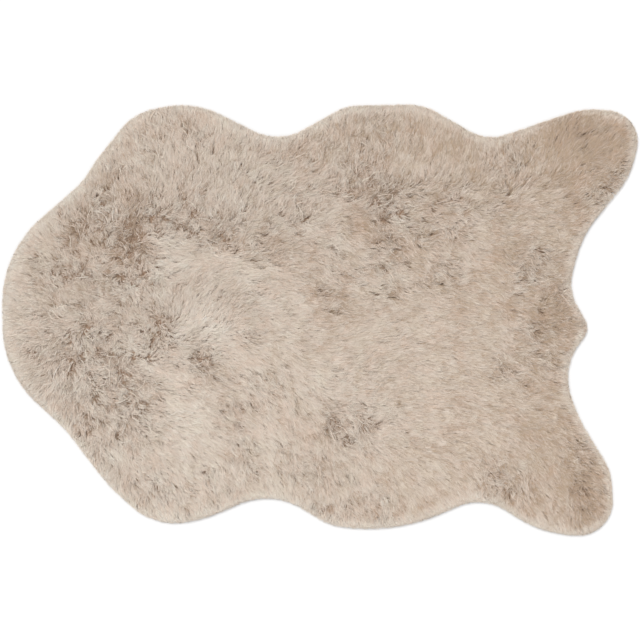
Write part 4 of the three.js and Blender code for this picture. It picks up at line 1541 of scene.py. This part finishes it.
    def _mesh(self, name: str, strands: Strands) -> bpy.types.Object:
        """Make a piece of strands, each a flat blade of two faces.

        Args:
            name: The piece's name.
            strands: The strands.

        Returns:
            The piece.
        """
        line, tint = strands.line, strands.tint
        tone = np.clip(strands.tone, 0.01, 0.99)
        run = line[:, 2] - line[:, 0]
        run /= np.maximum(np.linalg.norm(run, axis=1, keepdims=True), TINY)
        side = np.cross(run, np.array([0.0, 0.0, 1.0]))
        side /= np.maximum(np.linalg.norm(side, axis=1, keepdims=True), TINY)
        other = np.cross(side, run)
        blade = side * np.cos(strands.roll)[:, None] + other * np.sin(strands.roll)[:, None]
        half = blade * (strands.width / 2)[:, None]
        points = np.stack([line[:, 0], line[:, 1] + half, line[:, 1] - half, line[:, 2]], 1)
        points[:, :, 2] = np.clip(points[:, :, 2], self.lowest, self.top)
        start = np.arange(len(line))[:, None] * 4
        faces = [start + np.array([0, 1, 2]), start + np.array([2, 1, 3])]
        made = mesh_object(name, points.reshape(-1, 3), faces)

        margin, thin = self.finish.band_margin, 0.004

        def place(along: float, across: float) -> np.ndarray:
            """Return the map's place for a share of the way up and across."""
            up = strands.start + along * (1 - strands.start)
            v = (tint + margin + up * (1 - 2 * margin)) / self.finish.tints
            return np.stack([tone + across * thin, v], 1)

        low_uv = np.stack([place(0, 0), place(0.5, 1), place(0.5, -1)], 1)
        high_uv = np.stack([place(0.5, -1), place(0.5, 1), place(1, 0)], 1)
        layer = made.data.uv_layers.new(name=STRAND_MAP)
        flat = np.concatenate([low_uv.reshape(-1, 2), high_uv.reshape(-1, 2)])
        layer.data.foreach_set("uv", flat.astype(np.float32).ravel())

        facing = np.cross(blade, run)
        facing *= np.where(facing[:, 2:] < 0, -1.0, 1.0)
        normal = facing * (1 - self.upward) + np.array([0, 0, self.upward])
        normal[:, :2] += strands.lean
        normal /= np.linalg.norm(normal, axis=1, keepdims=True)
        made.data.normals_split_custom_set_from_vertices(np.repeat(normal, 4, axis=0).tolist())
        return made


def line_of(*places: tuple[np.ndarray, np.ndarray]) -> np.ndarray:
    """Return lines through places, each given as rows of (x, y) and heights."""
    return np.stack([np.column_stack(place) for place in places], 1)


def turned(unit: np.ndarray, angle: np.ndarray) -> np.ndarray:
    """Return flat vectors turned by angles in radians."""
    c, s = np.cos(angle), np.sin(angle)
    return np.stack([unit[:, 0] * c - unit[:, 1] * s, unit[:, 0] * s + unit[:, 1] * c], 1)


# --------------------------------------------------------------------------- studio


@dataclass
class Studio:
    """A white studio: floor, soft light and a camera straight above."""

    lens: float = 85.0
    sensor: float = 36.0
    field: float = 2.758
    pile_plane: float = 0.030
    sky: float = 0.66
    key_share: float = 0.46
    key_elevation: float = 66.0
    key_azimuth: float = 125.0
    key_spread: float = 30.0
    floor_grey: float = 0.88
    floor_glow: float = 0.10
    floor_reach: float = 30.0

    def build(self) -> bpy.types.Object:
        """Make the floor, the lights and the camera, and return the floor."""
        scene = bpy.context.scene
        scene.view_settings.view_transform = "Standard"
        self._world(scene)
        self._key(scene)
        self._camera(scene)
        return self._floor(scene)

    def _world(self, scene: bpy.types.Scene) -> None:
        """Set an even sky, white to the eye."""
        sky = Shade(bpy.data.worlds.new("studio"))
        path = sky.node("ShaderNodeLightPath").outputs
        seen = Sock(sky, path["Is Camera Ray"]).larger(path["Is Glossy Ray"])
        back = sky.node("ShaderNodeBackground", None, {
            "Color": (1.0, 1.0, 1.0, 1.0), "Strength": seen * (1.0 - self.sky) + self.sky,
        })
        scene.world = sky.finish("ShaderNodeOutputWorld", back.outputs[0])

    def _key(self, scene: bpy.types.Scene) -> None:
        """Add the broad key light."""
        light = bpy.data.lights.new("key", "SUN")
        light.angle = math.radians(self.key_spread)
        light.energy = self.key_share * math.pi / math.sin(math.radians(self.key_elevation))
        lamp = bpy.data.objects.new("key", light)
        scene.collection.objects.link(lamp)
        lamp.rotation_euler = (0.0, math.radians(90 - self.key_elevation), math.radians(self.key_azimuth))

    def _camera(self, scene: bpy.types.Scene) -> None:
        """Add the camera, straight above the middle of the rug."""
        data = bpy.data.cameras.new("camera")
        data.lens = self.lens
        data.sensor_width = self.sensor
        data.clip_end = 2 * self.floor_reach
        camera = bpy.data.objects.new("camera", data)
        scene.collection.objects.link(camera)
        low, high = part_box(FLEECE_NODE)
        height = self.pile_plane + self.field * self.lens / self.sensor
        camera.location = ((low[0] + high[0]) / 2, (low[1] + high[1]) / 2, height)
        scene.camera = camera

    def _floor(self, scene: bpy.types.Scene) -> bpy.types.Object:
        """Add a floor that looks white and still takes the rug's shadow."""
        shade = Shade.of_material("white_floor")
        path = shade.node("ShaderNodeLightPath")
        grey = shade.node("ShaderNodeBsdfDiffuse", None, {"Color": (*[self.floor_grey] * 3, 1.0)})
        glow = shade.node("ShaderNodeEmission", None, {
            "Strength": Sock(shade, path.outputs["Is Camera Ray"]) * self.floor_glow,
        })
        both = shade.node("ShaderNodeAddShader", None, {0: grey.outputs[0], 1: glow.outputs[0]})
        paint = shade.finish("ShaderNodeOutputMaterial", both.outputs[0])
        reach = self.floor_reach
        corners = np.array([(-reach, -reach, 0), (reach, -reach, 0), (reach, reach, 0), (-reach, reach, 0)])
        floor = mesh_object("floor", corners, [np.array([[0, 1, 2, 3]])])
        floor.data.materials.append(paint)
        return floor


def report(piece: bpy.types.Object) -> None:
    """Log a piece's name and size."""
    LOG.info("%s: %d faces", piece.name, len(piece.data.polygons))


def main() -> None:
    """Build the rug, the studio and the camera, and attach every piece to its body."""
    logging.basicConfig(level=logging.INFO, format="%(name)s: %(message)s")
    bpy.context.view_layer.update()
    Studio().build()
    grid = Grid()
    outline = HideOutline(OUTLINE)
    inset = InsetField(outline, grid)
    combing = Combing(grid)
    hide = Hide(outline, combing, inset).build()
    wool = Wool(outline, combing, inset).build()
    for piece in [hide, *wool]:
        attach(piece, BODY)
        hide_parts(FLEECE_NODE)
        report(piece)
    flat, area = outline.extent(Hide.edge_inset, Hide.step)


if __name__ == "__main__":
    main()
